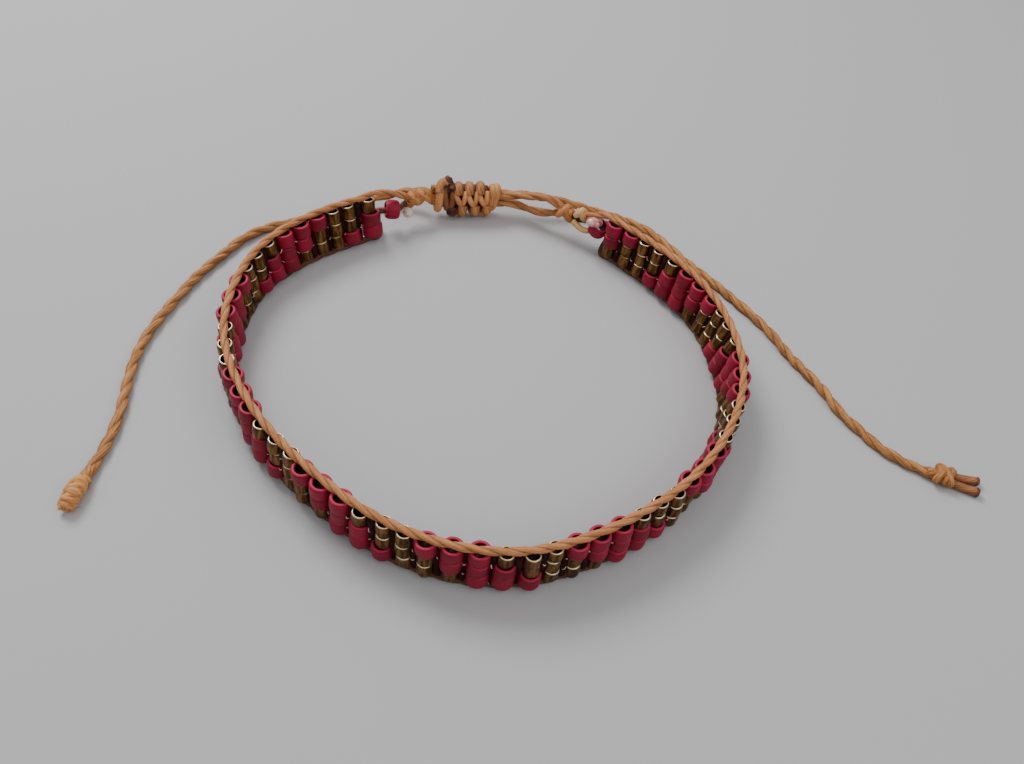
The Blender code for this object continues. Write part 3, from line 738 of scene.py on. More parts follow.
def blend(amount: Shade, first: Shade | Colour, second: Shade | Colour) -> Shade:
    """A colour between two others.

    Args:
        amount: The share of the second one, from 0 to 1.
        first: The first colour.
        second: The second colour.

    Returns:
        The colour.
    """
    first = (*first, 1.0) if isinstance(first, tuple) else first
    second = (*second, 1.0) if isinstance(second, tuple) else second
    settings = {"data_type": "RGBA"}
    return add_node(amount.tree, "ShaderNodeMix", settings, 2, {0: amount, 6: first, 7: second})


@dataclass(frozen=True)
class Finish:
    """What every finish has: a name and the shader's constant values."""

    name: str
    roughness: float = 0.5
    metallic: float = 0.0
    coat: float = 0.0
    specular: float = 0.5

    def start(self) -> tuple[bpy.types.Material, bpy.types.NodeTree, bpy.types.Node]:
        """Begin the material with its constant values.

        Returns:
            The new material, its tree and its main shader.
        """
        made = bpy.data.materials.new(self.name)
        made.use_nodes = True
        tree = made.node_tree
        shader = tree.nodes["Principled BSDF"]
        shader.inputs["Roughness"].default_value = self.roughness
        shader.inputs["Metallic"].default_value = self.metallic
        shader.inputs["Coat Weight"].default_value = self.coat
        shader.inputs["Coat Roughness"].default_value = 0.15
        shader.inputs["Specular IOR Level"].default_value = self.specular
        return made, tree, shader

    @staticmethod
    def link(tree: bpy.types.NodeTree, value: Shade, shader: bpy.types.Node, name: str) -> None:
        """Lead a value into one of the shader's inputs."""
        tree.links.new(value.socket, shader.inputs[name])

    @staticmethod
    def spot(tree: bpy.types.NodeTree) -> Shade:
        """The place on the object."""
        return add_node(tree, "ShaderNodeTexCoord", {}, "Object", ())

    @staticmethod
    def noise(tree: bpy.types.NodeTree, where: Shade, scale: float, detail: float = 2.0) -> Shade:
        """A soft random value."""
        values = {"Vector": where, "Scale": scale, "Detail": detail}
        return add_node(tree, "ShaderNodeTexNoise", {}, "Fac", values)

    @staticmethod
    def attribute(tree: bpy.types.NodeTree, name: str) -> Shade:
        """A value kept on the mesh."""
        return add_node(tree, "ShaderNodeAttribute", {"attribute_name": name}, "Fac", ())

    @staticmethod
    def bump(tree: bpy.types.NodeTree, height: Shade, distance: float, strength: float) -> Shade:
        """A normal from a height."""
        values = {"Height": height, "Distance": distance, "Strength": strength}
        return add_node(tree, "ShaderNodeBump", {}, "Normal", values)


@dataclass(frozen=True)
class CordFinish(Finish):
    """Waxed, fibrous cord.

    Its fibres run in a slow spiral along each ply, and the creases between the plies are painted dark as
    shade.
    The slant is the turns of a fibre for each mm, and streaky is the share of the streaks against cloudy
    patches.
    """

    light: Colour = (0.66, 0.275, 0.085)
    dark: Colour = (0.33, 0.105, 0.022)
    # Painted shade colour for the creases between the plies
    crease_shade: Colour = (0.10, 0.028, 0.006)
    slant: float = 0.16
    streaky: float = 0.7

    def make(self) -> bpy.types.Material:
        """Make the material.

        Returns:
            The material.
        """
        made, tree, shader = self.start()
        uv = add_node(tree, "ShaderNodeUVMap", {"uv_map": "CordUV"}, 0, ())
        split = tree.nodes.new("ShaderNodeSeparateXYZ")
        tree.links.new(uv.socket, split.inputs[0])
        along, around = Shade(tree, split.outputs[0]), Shade(tree, split.outputs[1])
        turn = (around + along * self.slant) * (2 * math.pi)
        streaks = self.fibres(tree, along * 0.35, turn, 2.6, 1.5, 4.0)
        hairs = self.fibres(tree, along * 0.9, turn, 5.2, 2.0, 3.0)
        where = self.spot(tree)
        patches = self.noise(tree, where, 380.0, 3.0)
        tone = streaks.between(0.36, 0.64) * self.streaky + patches.between(0.3, 0.7) * (1 - self.streaky)
        colour = blend(tone, self.dark, self.light)
        pale = tuple(min(1.0, c * 1.35 + 0.02) for c in self.light)
        colour = blend(hairs.between(0.56, 0.72) * 0.6, colour, pale)
        lit = self.attribute(tree, "tone")
        colour = blend(lit.between(0.5, 1.0) * 0.8, colour, pale)
        colour = blend((1.0 - lit).between(0.5, 1.0) * 0.85, colour, self.dark)
        # Painted shade: the skin deep between the plies turns dark
        colour = blend(self.attribute(tree, "crease_shade").between(0.0, 0.9) * 0.9, colour, self.crease_shade)
        self.link(tree, colour, shader, "Base Color")
        self.link(tree, 0.72 - patches * 0.3, shader, "Roughness")
        height = streaks * 0.8 + hairs * 0.5
        self.link(tree, self.bump(tree, height, 0.11 * MM, 0.9), shader, "Normal")
        return made

    def fibres(
        self, tree: bpy.types.NodeTree, along: Shade, turn: Shade, spread: float, scale: float, detail: float
    ) -> Shade:
        """A random value that is drawn out along the fibres.

        Args:
            tree: The shader tree.
            along: The distance along the strand.
            turn: The angle round it.
            spread: How finely the value changes round the strand.
            scale: How finely it changes at all.
            detail: How much fine detail it has.

        Returns:
            The value.
        """
        values = (along, turn.sine() * spread, (turn + math.pi / 2).sine() * spread)
        return self.noise(tree, add_node(tree, "ShaderNodeCombineXYZ", {}, 0, values), scale, detail)


@dataclass(frozen=True)
class RedBeadFinish(Finish):
    """Opaque deep red glass, with a painted highlight on its paler rim and painted shade inside its hole."""

    body: Colour = (0.36, 0.004, 0.036)
    deep: Colour = (0.17, 0.001, 0.013)
    # Painted highlight on the bead's end faces
    rim: Colour = (0.52, 0.030, 0.090)
    # Painted shade inside the hole
    inside: Colour = (0.07, 0.001, 0.004)

    def make(self) -> bpy.types.Material:
        """Make the material.

        Returns:
            The material.
        """
        made, tree, shader = self.start()
        where = self.spot(tree)
        cloud = self.noise(tree, where, 700.0, 3.0)
        tone = self.attribute(tree, "bead_tone")
        colour = blend(cloud.between(0.3, 0.75) * 0.5 + tone * 0.5, self.deep, self.body)
        # Painted highlight: the end faces turn a paler pink
        colour = blend(self.attribute(tree, "bead_rim_highlight").between(0.3, 1.0) * 0.7, colour, self.rim)
        # Painted shade: the hole wall turns dark
        colour = blend(self.attribute(tree, "bead_hole_shade"), colour, self.inside)
        self.link(tree, colour, shader, "Base Color")
        self.link(tree, 0.40 + cloud * 0.25, shader, "Roughness")
        pits = self.noise(tree, where, 5200.0, 2.0)
        self.link(tree, self.bump(tree, pits, 0.02 * MM, 0.35), shader, "Normal")
        return made


@dataclass(frozen=True)
class GoldBeadFinish(Finish):
    """Aged bronze metal with streaks down its sides, with a painted highlight along the rims and painted
    shade inside the hole.
    """

    body: Colour = (0.29, 0.14, 0.042)
    dark: Colour = (0.062, 0.025, 0.007)
    # Painted highlight along the rims
    rim: Colour = (1.0, 0.80, 0.50)
    # Painted shade inside the hole
    inside: Colour = (0.03, 0.012, 0.003)

    def make(self) -> bpy.types.Material:
        """Make the material.

        Returns:
            The material.
        """
        made, tree, shader = self.start()
        where = self.spot(tree)
        cloud = self.noise(tree, where, 900.0, 3.0)
        tone = self.attribute(tree, "bead_tone") * 60.0
        values = (
            self.attribute(tree, "bead_east") * 2.4 + tone, self.attribute(tree, "bead_north") * 2.4,
            self.attribute(tree, "bead_height") * 0.45,
        )
        streaks = self.noise(tree, add_node(tree, "ShaderNodeCombineXYZ", {}, 0, values), 1.0, 4.0)
        mix = streaks.between(0.40, 0.62) * 0.75 + cloud.between(0.35, 0.7) * 0.25
        colour = blend(mix, self.dark, self.body)
        # Painted highlight: the rims turn bright cream
        rim = self.attribute(tree, "bead_rim_highlight").between(0.35, 0.95)
        colour = blend(rim, colour, self.rim)
        # Painted shade: the hole wall turns near-black
        colour = blend(self.attribute(tree, "bead_hole_shade"), colour, self.inside)
        self.link(tree, colour, shader, "Base Color")
        self.link(tree, 0.40 - rim * 0.14 + cloud * 0.1, shader, "Roughness")
        self.link(tree, self.bump(tree, streaks, 0.05 * MM, 0.5), shader, "Normal")
        return made


@dataclass(frozen=True)
class BurntFinish(Finish):
    """Cord melted and singed at its end."""

    char: Colour = (0.023, 0.005, 0.0016)
    scorched: Colour = (0.210, 0.043, 0.0080)

    def make(self) -> bpy.types.Material:
        """Make the material.

        Returns:
            The material.
        """
        made, tree, shader = self.start()
        where = self.spot(tree)
        lumps = self.noise(tree, where, 1500.0, 3.0)
        self.link(tree, blend(lumps.between(0.42, 0.68), self.char, self.scorched), shader, "Base Color")
        self.link(tree, 0.25 + lumps * 0.5, shader, "Roughness")
        self.link(tree, self.bump(tree, lumps, 0.12 * MM, 0.8), shader, "Normal")
        return made


@dataclass(frozen=True)
class GlueFinish(Finish):
    """A drop of clear glue, milky where it is thick."""

    milky: Colour = (0.92, 0.80, 0.70)
    clear: Colour = (0.72, 0.46, 0.38)
    clearness: float = 0.08

    def make(self) -> bpy.types.Material:
        """Make the material.

        Returns:
            The material.
        """
        made, tree, shader = self.start()
        shader.inputs["Transmission Weight"].default_value = self.clearness
        where = self.spot(tree)
        cloud = self.noise(tree, where, 1800.0, 3.0)
        self.link(tree, blend(cloud.between(0.35, 0.6), self.clear, self.milky), shader, "Base Color")
        self.link(tree, 0.08 + cloud * 0.12, shader, "Roughness")
        self.link(tree, self.bump(tree, cloud, 0.05 * MM, 0.4), shader, "Normal")
        return made


@dataclass(frozen=True)
class ThreadFinish(Finish):
    """Fine clear sewing thread, with the beads' red painted on as reflection."""

    clear: Colour = (0.86, 0.66, 0.60)
    # Painted reflection of the red beads
    bead_red_reflection: Colour = (0.60, 0.30, 0.24)

    def make(self) -> bpy.types.Material:
        """Make the material.

        Returns:
            The material.
        """
        made, tree, shader = self.start()
        cloud = self.noise(tree, self.spot(tree), 600.0, 2.0)
        # Painted reflection: patches of the thread take on the beads' red
        self.link(tree, blend(cloud.between(0.4, 0.6), self.bead_red_reflection, self.clear), shader, "Base Color")
        self.link(tree, 0.18 + cloud * 0.1, shader, "Roughness")
        return made


@dataclass(frozen=True)
class FloorFinish(Finish):
    """A plain pale floor."""

    pale: Colour = (0.50, 0.49, 0.49)

    def make(self) -> bpy.types.Material:
        """Make the material.

        Returns:
            The material.
        """
        made, _, shader = self.start()
        shader.inputs["Base Color"].default_value = (*self.pale, 1.0)
        return made


# The bracelet


@dataclass
class BeadBand:
    """The band's beads, the fine thread that sews them, and thread strands in their holes and gaps painted
    dark as shade.
    """

    loop: LoopLine
    sides: int = 10
    rim_round: float = 0.13 * MM
    end_bead_round: float = 0.25 * MM
    red_hole: float = 1.40 * MM
    gold_hole: float = 1.14 * MM
    wobble: float = 0.08 * MM
    first_column_growth: float = 1.15
    end_bead_growth: float = 1.08
    stitch_thickness: float = 0.10 * MM
    skipped_stitches: float = 0.5

    def bead(self, kind: BeadKind, rim: float) -> bpy.types.Object:
        """Model one drilled bead with rounded rims, upright at the origin.

        Args:
            kind: The kind of bead.
            rim: How much its rims are rounded.

        Returns:
            The bead, with its rim (for a painted highlight), hole (for painted shade) and height kept on the
            mesh.
        """
        swell = 1 / (0.75 + 0.25 * math.cos(2 * math.pi / self.sides))
        outer = self.loop.radius(kind) * swell
        hole = (self.gold_hole if kind is BeadKind.GOLD else self.red_hole) / 2 * swell
        half = self.loop.bead_length / 2 - 0.02 * MM
        bpy.ops.object.select_all(action="DESELECT")
        bpy.ops.mesh.primitive_circle_add(vertices=self.sides, radius=hole, location=(0, 0, half - rim))
        made = bpy.context.object
        bpy.ops.object.transform_apply(location=True)
        ring_steps = (
            (hole + 0.4 * rim, half), (outer - 0.9 * rim, half),
            (outer, half - rim), (outer * 1.005, 0.0), (outer, rim - half),
            (outer - 0.9 * rim, -half), (hole + 0.4 * rim, -half),
            (hole, rim - half),
        )
        bpy.ops.object.mode_set(mode="EDIT")
        bpy.ops.mesh.select_all(action="SELECT")
        radius, level = hole, half - rim
        for new_radius, new_level in ring_steps:
            bpy.ops.mesh.extrude_edges_move(TRANSFORM_OT_translate={"value": (0, 0, new_level - level)})
            grow = new_radius / radius
            bpy.ops.transform.resize(value=(grow, grow, 1.0), center_override=(0, 0, new_level))
            radius, level = new_radius, new_level
        bpy.ops.mesh.select_all(action="SELECT")
        bpy.ops.object.mode_set(mode="OBJECT")
        shape = bmesh.new()
        shape.from_mesh(made.data)
        open_edges = [edge for edge in shape.edges if edge.is_boundary]
        bmesh.ops.bridge_loops(shape, edges=open_edges)
        bmesh.ops.recalc_face_normals(shape, faces=shape.faces)
        for face in shape.faces:
            face.smooth = True
        shape.to_mesh(made.data)
        shape.free()
        places = np.array([vertex.co for vertex in made.data.vertices])
        reach = np.hypot(places[:, 0], places[:, 1])
        on_end = np.abs(places[:, 2]) > half - 0.3 * rim
        # The end faces are kept for the painted highlight on the rims, and the hole wall for the painted
        # shade inside
        values = {
            "bead_rim_highlight": on_end * 1.0,
            "bead_hole_shade": (reach < hole * 1.02) * 1.0,
            "bead_height": places[:, 2] / half,
            "bead_east": places[:, 0] / outer,
            "bead_north": places[:, 1] / outer,
        }
        for name, value in values.items():
            layer = made.data.attributes.new(name, "FLOAT", "POINT")
            layer.data.foreach_set("value", value.astype(np.float32))
        return made

    def row_climb(self, row: int) -> float:
        """How far up its column the middle of a row's bead sits."""
        return self.loop.cord_diameter / 2 + (self.loop.rows - row - 0.5) * self.loop.bead_length

    def frames(self, kind: BeadKind) -> list[Matrix]:
        """The places of all beads of a kind, each a little out of line.

        Args:
            kind: The kind of bead.

        Returns:
            One frame for each bead.
        """
        rng = np.random.default_rng(11 if kind is BeadKind.RED else 23)
        sway = np.random.default_rng(5).normal(size=(self.loop.columns, 2))
        found = []
        for column, place in enumerate(self.loop.places):
            for row in range(self.loop.rows):
                if self.loop.kind(column, row) is not kind:
                    continue
                climb = self.row_climb(row)
                shift = rng.normal(size=3) * self.wobble * 0.6
                shift[1] += sway[column, 0] * 0.09 * MM
                shift[2] *= 0.3
                tip = Matrix.Rotation(math.radians(rng.normal() * 1.8 + sway[column, 1] * 1.5), 4, "Y")
                roll = Matrix.Rotation(math.radians(rng.normal() * 2.0), 4, "X")
                spin = Matrix.Rotation(rng.uniform(0, 6.28), 4, "Z")
                grow = Matrix.Identity(4)
                if column == 0:
                    shift[0] -= (0.18 + 0.14 * row) * MM
                    grow = Matrix.Diagonal((self.first_column_growth, self.first_column_growth, 1.0, 1.0))
                frame = self.loop.column_frame(place, climb) @ Matrix.Translation(shift)
                found.append(frame @ tip @ roll @ spin @ grow)
        return found

    @staticmethod
    def round_off(obj: bpy.types.Object) -> None:
        """Subdivide a piece once, and keep the result.

        Args:
            obj: The piece.
        """
        select_only(obj)
        smooth = obj.modifiers.new("round", "SUBSURF")
        smooth.levels = 1
        smooth.render_levels = 1
        bpy.ops.object.modifier_apply(modifier=smooth.name)

    def end_bead(
        self, node: str, start: float, placed: tuple[float, ...], finish: bpy.types.Material
    ) -> None:
        """Add one of the single red beads past the ends of the band.

        Args:
            node: The solid that it stands for.
            start: How far along the loop its end of the band is.
            placed: Its distance past that end, its height, its distance outward, its lean and its turn.
            finish: Its finish.
        """
        past, height, outward, tilt, turn = placed
        spot = (start + past * MM, height * MM, outward * MM)
        heading = Vector(self.loop.heading(spot[0]))
        out = Vector((0, 0, 1)).cross(heading)
        axes = Matrix((heading, out, Vector((0, 0, 1)))).transposed().to_4x4()
        lean = Matrix.Rotation(math.radians(turn), 4, "Z") @ Matrix.Rotation(math.radians(tilt), 4, "Y")
        frame = Matrix.Translation(Vector(self.loop.point(*spot))) @ axes @ lean
        frame = frame @ Matrix.Scale(self.end_bead_growth, 4)
        made = join_copies(node + "_glass", self.bead(BeadKind.RED, self.end_bead_round), [frame])
        self.round_off(made)
        finish_object(made, finish)
        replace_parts(made, node)

    def thread_strands(self) -> list[Strand]:
        """The sewing thread: short stitches between the columns at the bead joints and under the cords.

        Returns:
            The stitches.
        """
        rng = np.random.default_rng(31)
        loop = self.loop
        strands = []
        for column in range(loop.columns - 1):
            middle = (loop.places[column] + loop.places[column + 1]) / 2
            for side in (-1.0, 1.0):
                for joint in range(loop.rows + 1):
                    edge = joint in (0, loop.rows)
                    climb = loop.cord_diameter / 2 + joint * loop.bead_length + rng.normal() * 0.06 * MM
                    climb -= 0.25 * MM if joint == loop.rows else 0.0
                    out = side * (0.15 if edge else rng.uniform(0.35, 0.6)) * MM
                    half = rng.uniform(0.07, 0.18) * MM
                    drop = rng.normal() * 0.14 * MM
                    if rng.random() < self.skipped_stitches:
                        continue
                    line = np.array([
                        loop.in_column(middle, -half, out * 0.75, climb - drop),
                        loop.in_column(middle, 0.0, out, climb),
                        loop.in_column(middle, half, out * 0.75, climb + drop),
                    ])
                    strands.append(Strand(even_points(line, 0.12 * MM), self.stitch_thickness, THREAD_SIDES))
        return strands

    def gap_shade_strands(self) -> list[Strand]:
        """A thread that runs up between each two columns and is pressed in by their beads, painted near-black
        to fill the gap with shade.

        Returns:
            One strand for each gap.
        """
        rng = np.random.default_rng(47)
        loop = self.loop
        strands = []
        for column in range(loop.columns - 1):
            middle = (loop.places[column] + loop.places[column + 1]) / 2
            pitch = loop.places[column + 1] - loop.places[column]
            line, widths = [loop.in_column(middle, 0.0, 0.0, 0.2 * MM)], [0.4 * MM]
            for row in reversed(range(loop.rows)):
                radii = [loop.radius(loop.kind(column + side, row)) for side in (0, 1)]
                lean = (radii[0] - radii[1]) / 2
                for share in (-0.32, 0.0, 0.32):
                    spot = lean + rng.normal() * 0.02 * MM
                    climb = self.row_climb(row) + share * loop.bead_length
                    line.append(loop.in_column(middle, spot, 0.0, climb))
                    widths.append(pitch - sum(radii) + rng.uniform(0.22, 0.34) * MM)
            line.append(loop.in_column(middle, 0.0, 0.0, 5.3 * MM))
            widths.append(0.4 * MM)
            strands.append(self.shaped(line, widths, THIN_SIDES, column * 7.0))
        return strands

    def hole_shade_strands(self) -> list[Strand]:
        """The thread that fills the holes of each column, from the foot to just under the top rim, painted
        dark as the shade inside the holes.

        Returns:
            One strand for each column.
        """
        loop = self.loop
        strands = []
        for column, place in enumerate(loop.places):
            line, widths = [], []
            for row in reversed(range(loop.rows)):
                hole = self.gold_hole if loop.kind(column, row) is BeadKind.GOLD else self.red_hole
                for share in (-0.4, 0.0, 0.12 if row == 0 else 0.4):
                    climb = self.row_climb(row) + share * loop.bead_length
                    line.append(loop.in_column(place, 0.0, 0.0, climb))
                    widths.append(hole - 0.16 * MM)
            strands.append(self.shaped(line, widths, CORD_SIDES, column * 3.0))
        return strands

    @staticmethod
    def shaped(line: list[np.ndarray], widths: list[float], sides: int, start: float) -> Strand:
        """A strand whose thickness is given point by point.

        Args:
            line: Its points.
            widths: Its diameter at each point.
            sides: Its number of sides.
            start: Where along the cord its streaks begin, in mm.

        Returns:
            The strand.
        """
        return Strand(np.array(line), max(widths), sides, widths=np.array(widths), start=start)

    def build(
        self, red: bpy.types.Material, gold: bpy.types.Material, thread: bpy.types.Material,
        thread_shade: bpy.types.Material,
    ) -> None:
        """Build and dress the band.

        Args:
            red: The red beads' finish.
            gold: The gold beads' finish.
            thread: The clear sewing thread's finish.
            thread_shade: The finish of the thread in the holes and gaps, painted dark as their shade.
        """
        for kind, name, finish in ((BeadKind.RED, "red_beads", red), (BeadKind.GOLD, "gold_beads", gold)):
            made = join_copies(name, self.bead(kind, self.rim_round), self.frames(kind))
            self.round_off(made)
            finish_object(made, finish)
            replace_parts(made, "bead_band")
        self.end_bead("left_end_bead", 0.0, LEFT_END_BEAD, red)
        self.end_bead("right_end_bead", self.loop.band, RIGHT_END_BEAD, red)
        strands_object("sewing_thread", self.thread_strands(), thread)
        # The gap and hole strands are painted shade between and inside the columns
        strands_object("gap_shade_thread", self.gap_shade_strands(), thread_shade)
        strands_object("hole_shade_thread", self.hole_shade_strands(), thread_shade)


@dataclass
class EdgeCords:
    """The two twisted cords that the band is sewn between. Each half turn of a cord spans one column."""

    loop: LoopLine
    diameter: float = 0.86 * MM
    low_diameter: float = 0.76 * MM
    half_lay: float = 2.3 * MM
    step: float = 0.33 * MM
    column_angle: float = math.radians(131)

    def route(self, climb: float, left: Route, right: Route, ends: tuple) -> tuple[np.ndarray, np.ndarray]:
        """The route of one cord and how it is twisted.

        Args:
            climb: How far up the columns it runs.
            left: Its run past the band's left end.
            right: Its run past the band's right end.
            ends: Its first and last points, each with its distance past the band.

        Returns:
            Even points along it, and the angle of its first ply at each point.
        """
        loop, tiny = self.loop, 1e-7
        points = [(*ends[0][1], -ends[0][0] / self.half_lay * tiny)]
        for past, height, out in reversed(left):
            points.append((*loop.point(-past * MM, height * MM, out * MM), -past * MM / self.half_lay * tiny))
        for column, place in enumerate(loop.places):
            points.append((*loop.in_column(place, 0.0, 0.0, climb), column * tiny))
        last = loop.columns - 1
        for past, height, out in right:
            turns = last + past * MM / self.half_lay
            points.append((*loop.point(loop.band + past * MM, height * MM, out * MM), turns * tiny))
        points.append((*ends[1][1], (last + ends[1][0] / self.half_lay) * tiny))
        spread = even_points(np.array(points), self.step)
        return spread[:, :3], spread[:, 3] / tiny * math.pi + self.column_angle

    def build(self, upper_finish: bpy.types.Material, lower_finish: bpy.types.Material) -> None:
        """Build and dress both cords.

        Args:
            upper_finish: The upper cord's finish.
            lower_finish: The lower cord's finish, painted dark for the shade it lies in.
        """
        loop = self.loop
        left = loop.point(-5.4 * MM, 3.6 * MM)
        lift = np.array([0.0, 0.0, 0.42 * MM])
        upper = self.route(
            loop.cord_diameter + loop.rows * loop.bead_length, LEFT_UPPER_RUN, RIGHT_UPPER_RUN,
            ((5.4 * MM, left + lift), (4.4 * MM, loop.point(loop.band + 4.4 * MM, 4.2 * MM))),
        )
        lower = self.route(
            0.05 * MM, LEFT_LOWER_RUN, RIGHT_LOWER_RUN,
            ((5.4 * MM, left - lift), (6.2 * MM, loop.point(loop.band + 6.2 * MM, 2.94 * MM))),
        )
        for name, (line, angles), diameter, finish in (
            ("upper_edge", upper, self.diameter, upper_finish),
            ("lower_edge", lower, self.low_diameter, lower_finish),
        ):
            made = strands_object(name + "_twist", twisted_pair(line, diameter, angles), finish)
            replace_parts(made, name + "_cord")


@dataclass(frozen=True)
class WrappedKnot:
    """The place and the sizes of a small wrapped knot, in mm.

    Each of its two ends is a distance past the band's end and a height. The radius is that of its wraps, the
    strand is the diameter of its cord, and each wrap slants along the knot.
    """

    near: tuple[float, float]
    far: tuple[float, float]
    length: float
    radius: float
    strand: float
    wraps: int
    slant: float


@dataclass
class Closure:
    """The end knots, the cords between them and the sliding square knot."""

    loop: LoopLine
    knot_height: float = 2.45 * MM
    knot_length: float = KNOT_STRETCH * MM
    stub_lay: float = 4.8 * MM
    neck_lay: float = 3.5 * MM
    cord_lay: float = 6.4 * MM
    stub_diameter: float = 1.1 * MM
    neck_diameter: float = 1.15 * MM
    cord_diameter: float = 1.08 * MM
    tan_diameter: float = 0.74 * MM
    left_end: WrappedKnot = WrappedKnot((-5.5, 3.3), (-8.4, 3.55), 2.7, 1.04, 0.72, 4, 0.5)
    tan_end: WrappedKnot = WrappedKnot((4.1, 4.2), (5.8, 4.2), 1.7, 0.82, 0.7, 2, 0.3)
    right_end: WrappedKnot = WrappedKnot((6.05, 3.4), (8.1, 3.4), 2.05, 1.08, 0.8, 2, 0.45)

    def knot_frame(self) -> tuple[np.ndarray, np.ndarray, np.ndarray, np.ndarray]:
        """Where the sliding knot lies.

        Returns:
            Its left end and its directions along, outward and up.
        """
        left = self.loop.point(-LEFT_STRETCH * MM, self.knot_height)
        right = self.loop.point(-LEFT_STRETCH * MM - self.knot_length, self.knot_height)
        along = (right - left) / np.linalg.norm(right - left)
        return left, along, np.array([-along[1], along[0], 0.0]), UP

    def in_knot(self, points: Point | Route) -> np.ndarray:
        """Points of the sliding knot, in the shared frame.

        Args:
            points: The points in the knot's own frame, in mm.

        Returns:
            The same points in the shared frame, one in each row.
        """
        left, along, out, up = self.knot_frame()
        points = np.atleast_2d(points) * MM
        return left + points[:, :1] * along + points[:, 1:2] * out + points[:, 2:3] * up

    def laid(self, points: Route, diameter: float, tone: float) -> Strand:
        """A piece of the working cord, from its chosen points in the sliding knot's own frame and mm."""
        return Strand(even_points(self.in_knot(points), 0.14 * MM), diameter * MM, tone=tone)

    def square_knots(self) -> list[Strand]:
        """The working cord of the sliding knot.

        Returns:
            The lumps over both edges, the zigzag between them, the wide wraps and the cord's two ends.
        """
        return self.lumps() + self.zigzag() + self.wide_wraps() + self.working_ends()

    def lumps(self) -> list[Strand]:
        """The lumps where the working cord turns over the upper and the lower edge.

        Returns:
            One strand for each lump.
        """
        strands = []
        for x, tone in ((2.98, 0.34), (4.34, 0.55), (5.70, 0.40)):
            over_top = (
                (x - 0.1, -0.62, 1.1), (x - 0.04, -0.32, 1.52), (x + 0.02, 0.15, 1.7), (x + 0.06, 0.65, 1.5),
                (x + 0.1, 0.92, 0.6), (x + 0.3, 0.95, -0.5), (x + 0.5, 0.6, -1.3),
            )
            strands.append(self.laid(over_top, 1.18, tone))
        for x, tone in ((3.4, 0.36), (5.0, 0.5), (6.5, 0.55)):
            under_foot = (
                (x + 0.12, -0.92, -0.3), (x + 0.04, -1.0, -0.9), (x - 0.02, -0.82, -1.4),
                (x - 0.1, -0.2, -1.7), (x - 0.2, 0.6, -1.4), (x - 0.5, 0.9, -0.4), (x - 0.7, 0.7, 0.6),
            )
            strands.append(self.laid(under_foot, 1.22, tone))
        return strands

    def zigzag(self) -> list[Strand]:
        """The crossings of the working cord on the outer side of the knot.

        Returns:
            One strand for each crossing.
        """
        strands = []
        for start, end, thick, tone in (
            ((2.5, 1.25), (3.3, -0.2), 0.70, 0.72), ((3.8, 1.35), (3.48, -0.1), 0.60, 0.9),
            ((4.05, 1.2), (4.75, -0.25), 0.70, 0.95), ((5.2, 1.3), (4.98, -0.15), 0.60, 0.8),
            ((5.45, 1.15), (6.2, -0.25), 0.70, 0.9), ((6.5, 1.35), (6.4, -0.1), 0.64, 0.85),
        ):
            middle = ((start[0] + end[0]) / 2 - 0.05, -1.16, (start[1] + end[1]) / 2 + 0.05)
            route = ((start[0], -0.45, start[1]), middle, (end[0], -0.95, end[1]))
            strands.append(self.laid(route, thick, tone))
        return strands

    def wide_wraps(self) -> list[Strand]:
        """The wraps at both ends of the knot, with two dark ones beside the burnt ends.

        Returns:
            One closed strand for each wrap.
        """
        _, along, _, up = self.knot_frame()
        strands = []
        for x, height, size, tilt, diameter, tone in (
            (0.50, 0.2, (0.88, 1.48), 0.10, 0.98, 0.8), (1.36, 0.05, (0.82, 1.3), -0.2, 0.8, 0.1),
            (2.1, 0.0, (0.80, 1.3), 0.2, 0.86, 0.05), (6.98, 0.05, (0.76, 1.45), 0.34, 1.02, 0.65),
            (7.5, 0.1, (0.72, 1.45), 0.30, 1.0, 0.7),
        ):
            centre = self.in_knot((x, 0.0, height))[0]
            wrap = oval(centre, along, up, (size[0] * MM, size[1] * MM), tilt * MM, 0.22 * MM)
            strands.append(Strand(wrap, diameter * MM, THICK_SIDES, closed=True, tone=tone))
        return strands

    def working_ends(self) -> list[Strand]:
        """The ends of the working cord, and the first bit of each pull cord inside the knot.

        Returns:
            Their strands.
        """
        upper_end = ((0.5, -0.62, 1.45), (0.62, -0.1, 2.0), (1.0, 0.4, 2.3), (1.7, 0.45, 2.2))
        lower_end = ((6.95, -0.98, -0.8), (6.6, -1.05, -1.35), (6.1, -0.8, -1.7), (5.75, -0.3, -1.8))
        strands = [self.laid(upper_end, 1.0, 0.6), self.laid(lower_end, 0.66, 0.85)]
        for stub in (
            ((1.4, 0.5, 0.6), (0.5, 0.6, 1.0), (-0.35, 0.7, 1.12)),
            ((7.2, 0.5, 0.1), (8.0, 0.7, 0.1), (8.6, 0.8, 0.12)),
        ):
            line = even_points(self.in_knot(stub), CORD_STEP)
            strands += twisted_pair(line, self.stub_diameter, lay_angles(line, self.stub_lay))
        return strands

    def core_strands(self) -> list[Strand]:
        """The cords that run through the middle of the sliding knot, painted dark for the shade between its
        lumps.

        Returns:
            Their strands.
        """
        strands = []
        for diameter, route in (
            (1.2, ((0.2, 0.2, 0.62), (4.0, 0.2, 0.62), (8.0, 0.2, 0.62))),
            (1.2, ((0.2, 0.2, -0.62), (4.0, 0.2, -0.62), (8.0, 0.2, -0.62))),
            (1.2, ((0.2, -0.25, 0.0), (4.0, -0.25, 0.0), (8.0, -0.25, 0.0))),
            (1.25, ((0.5, 0.25, 1.15), (1.6, 0.25, 1.3), (6.6, 0.2, 1.1))),
        ):
            strands.append(Strand(even_points(self.in_knot(route), 0.4 * MM), diameter * MM, tone=0.2))
        return strands

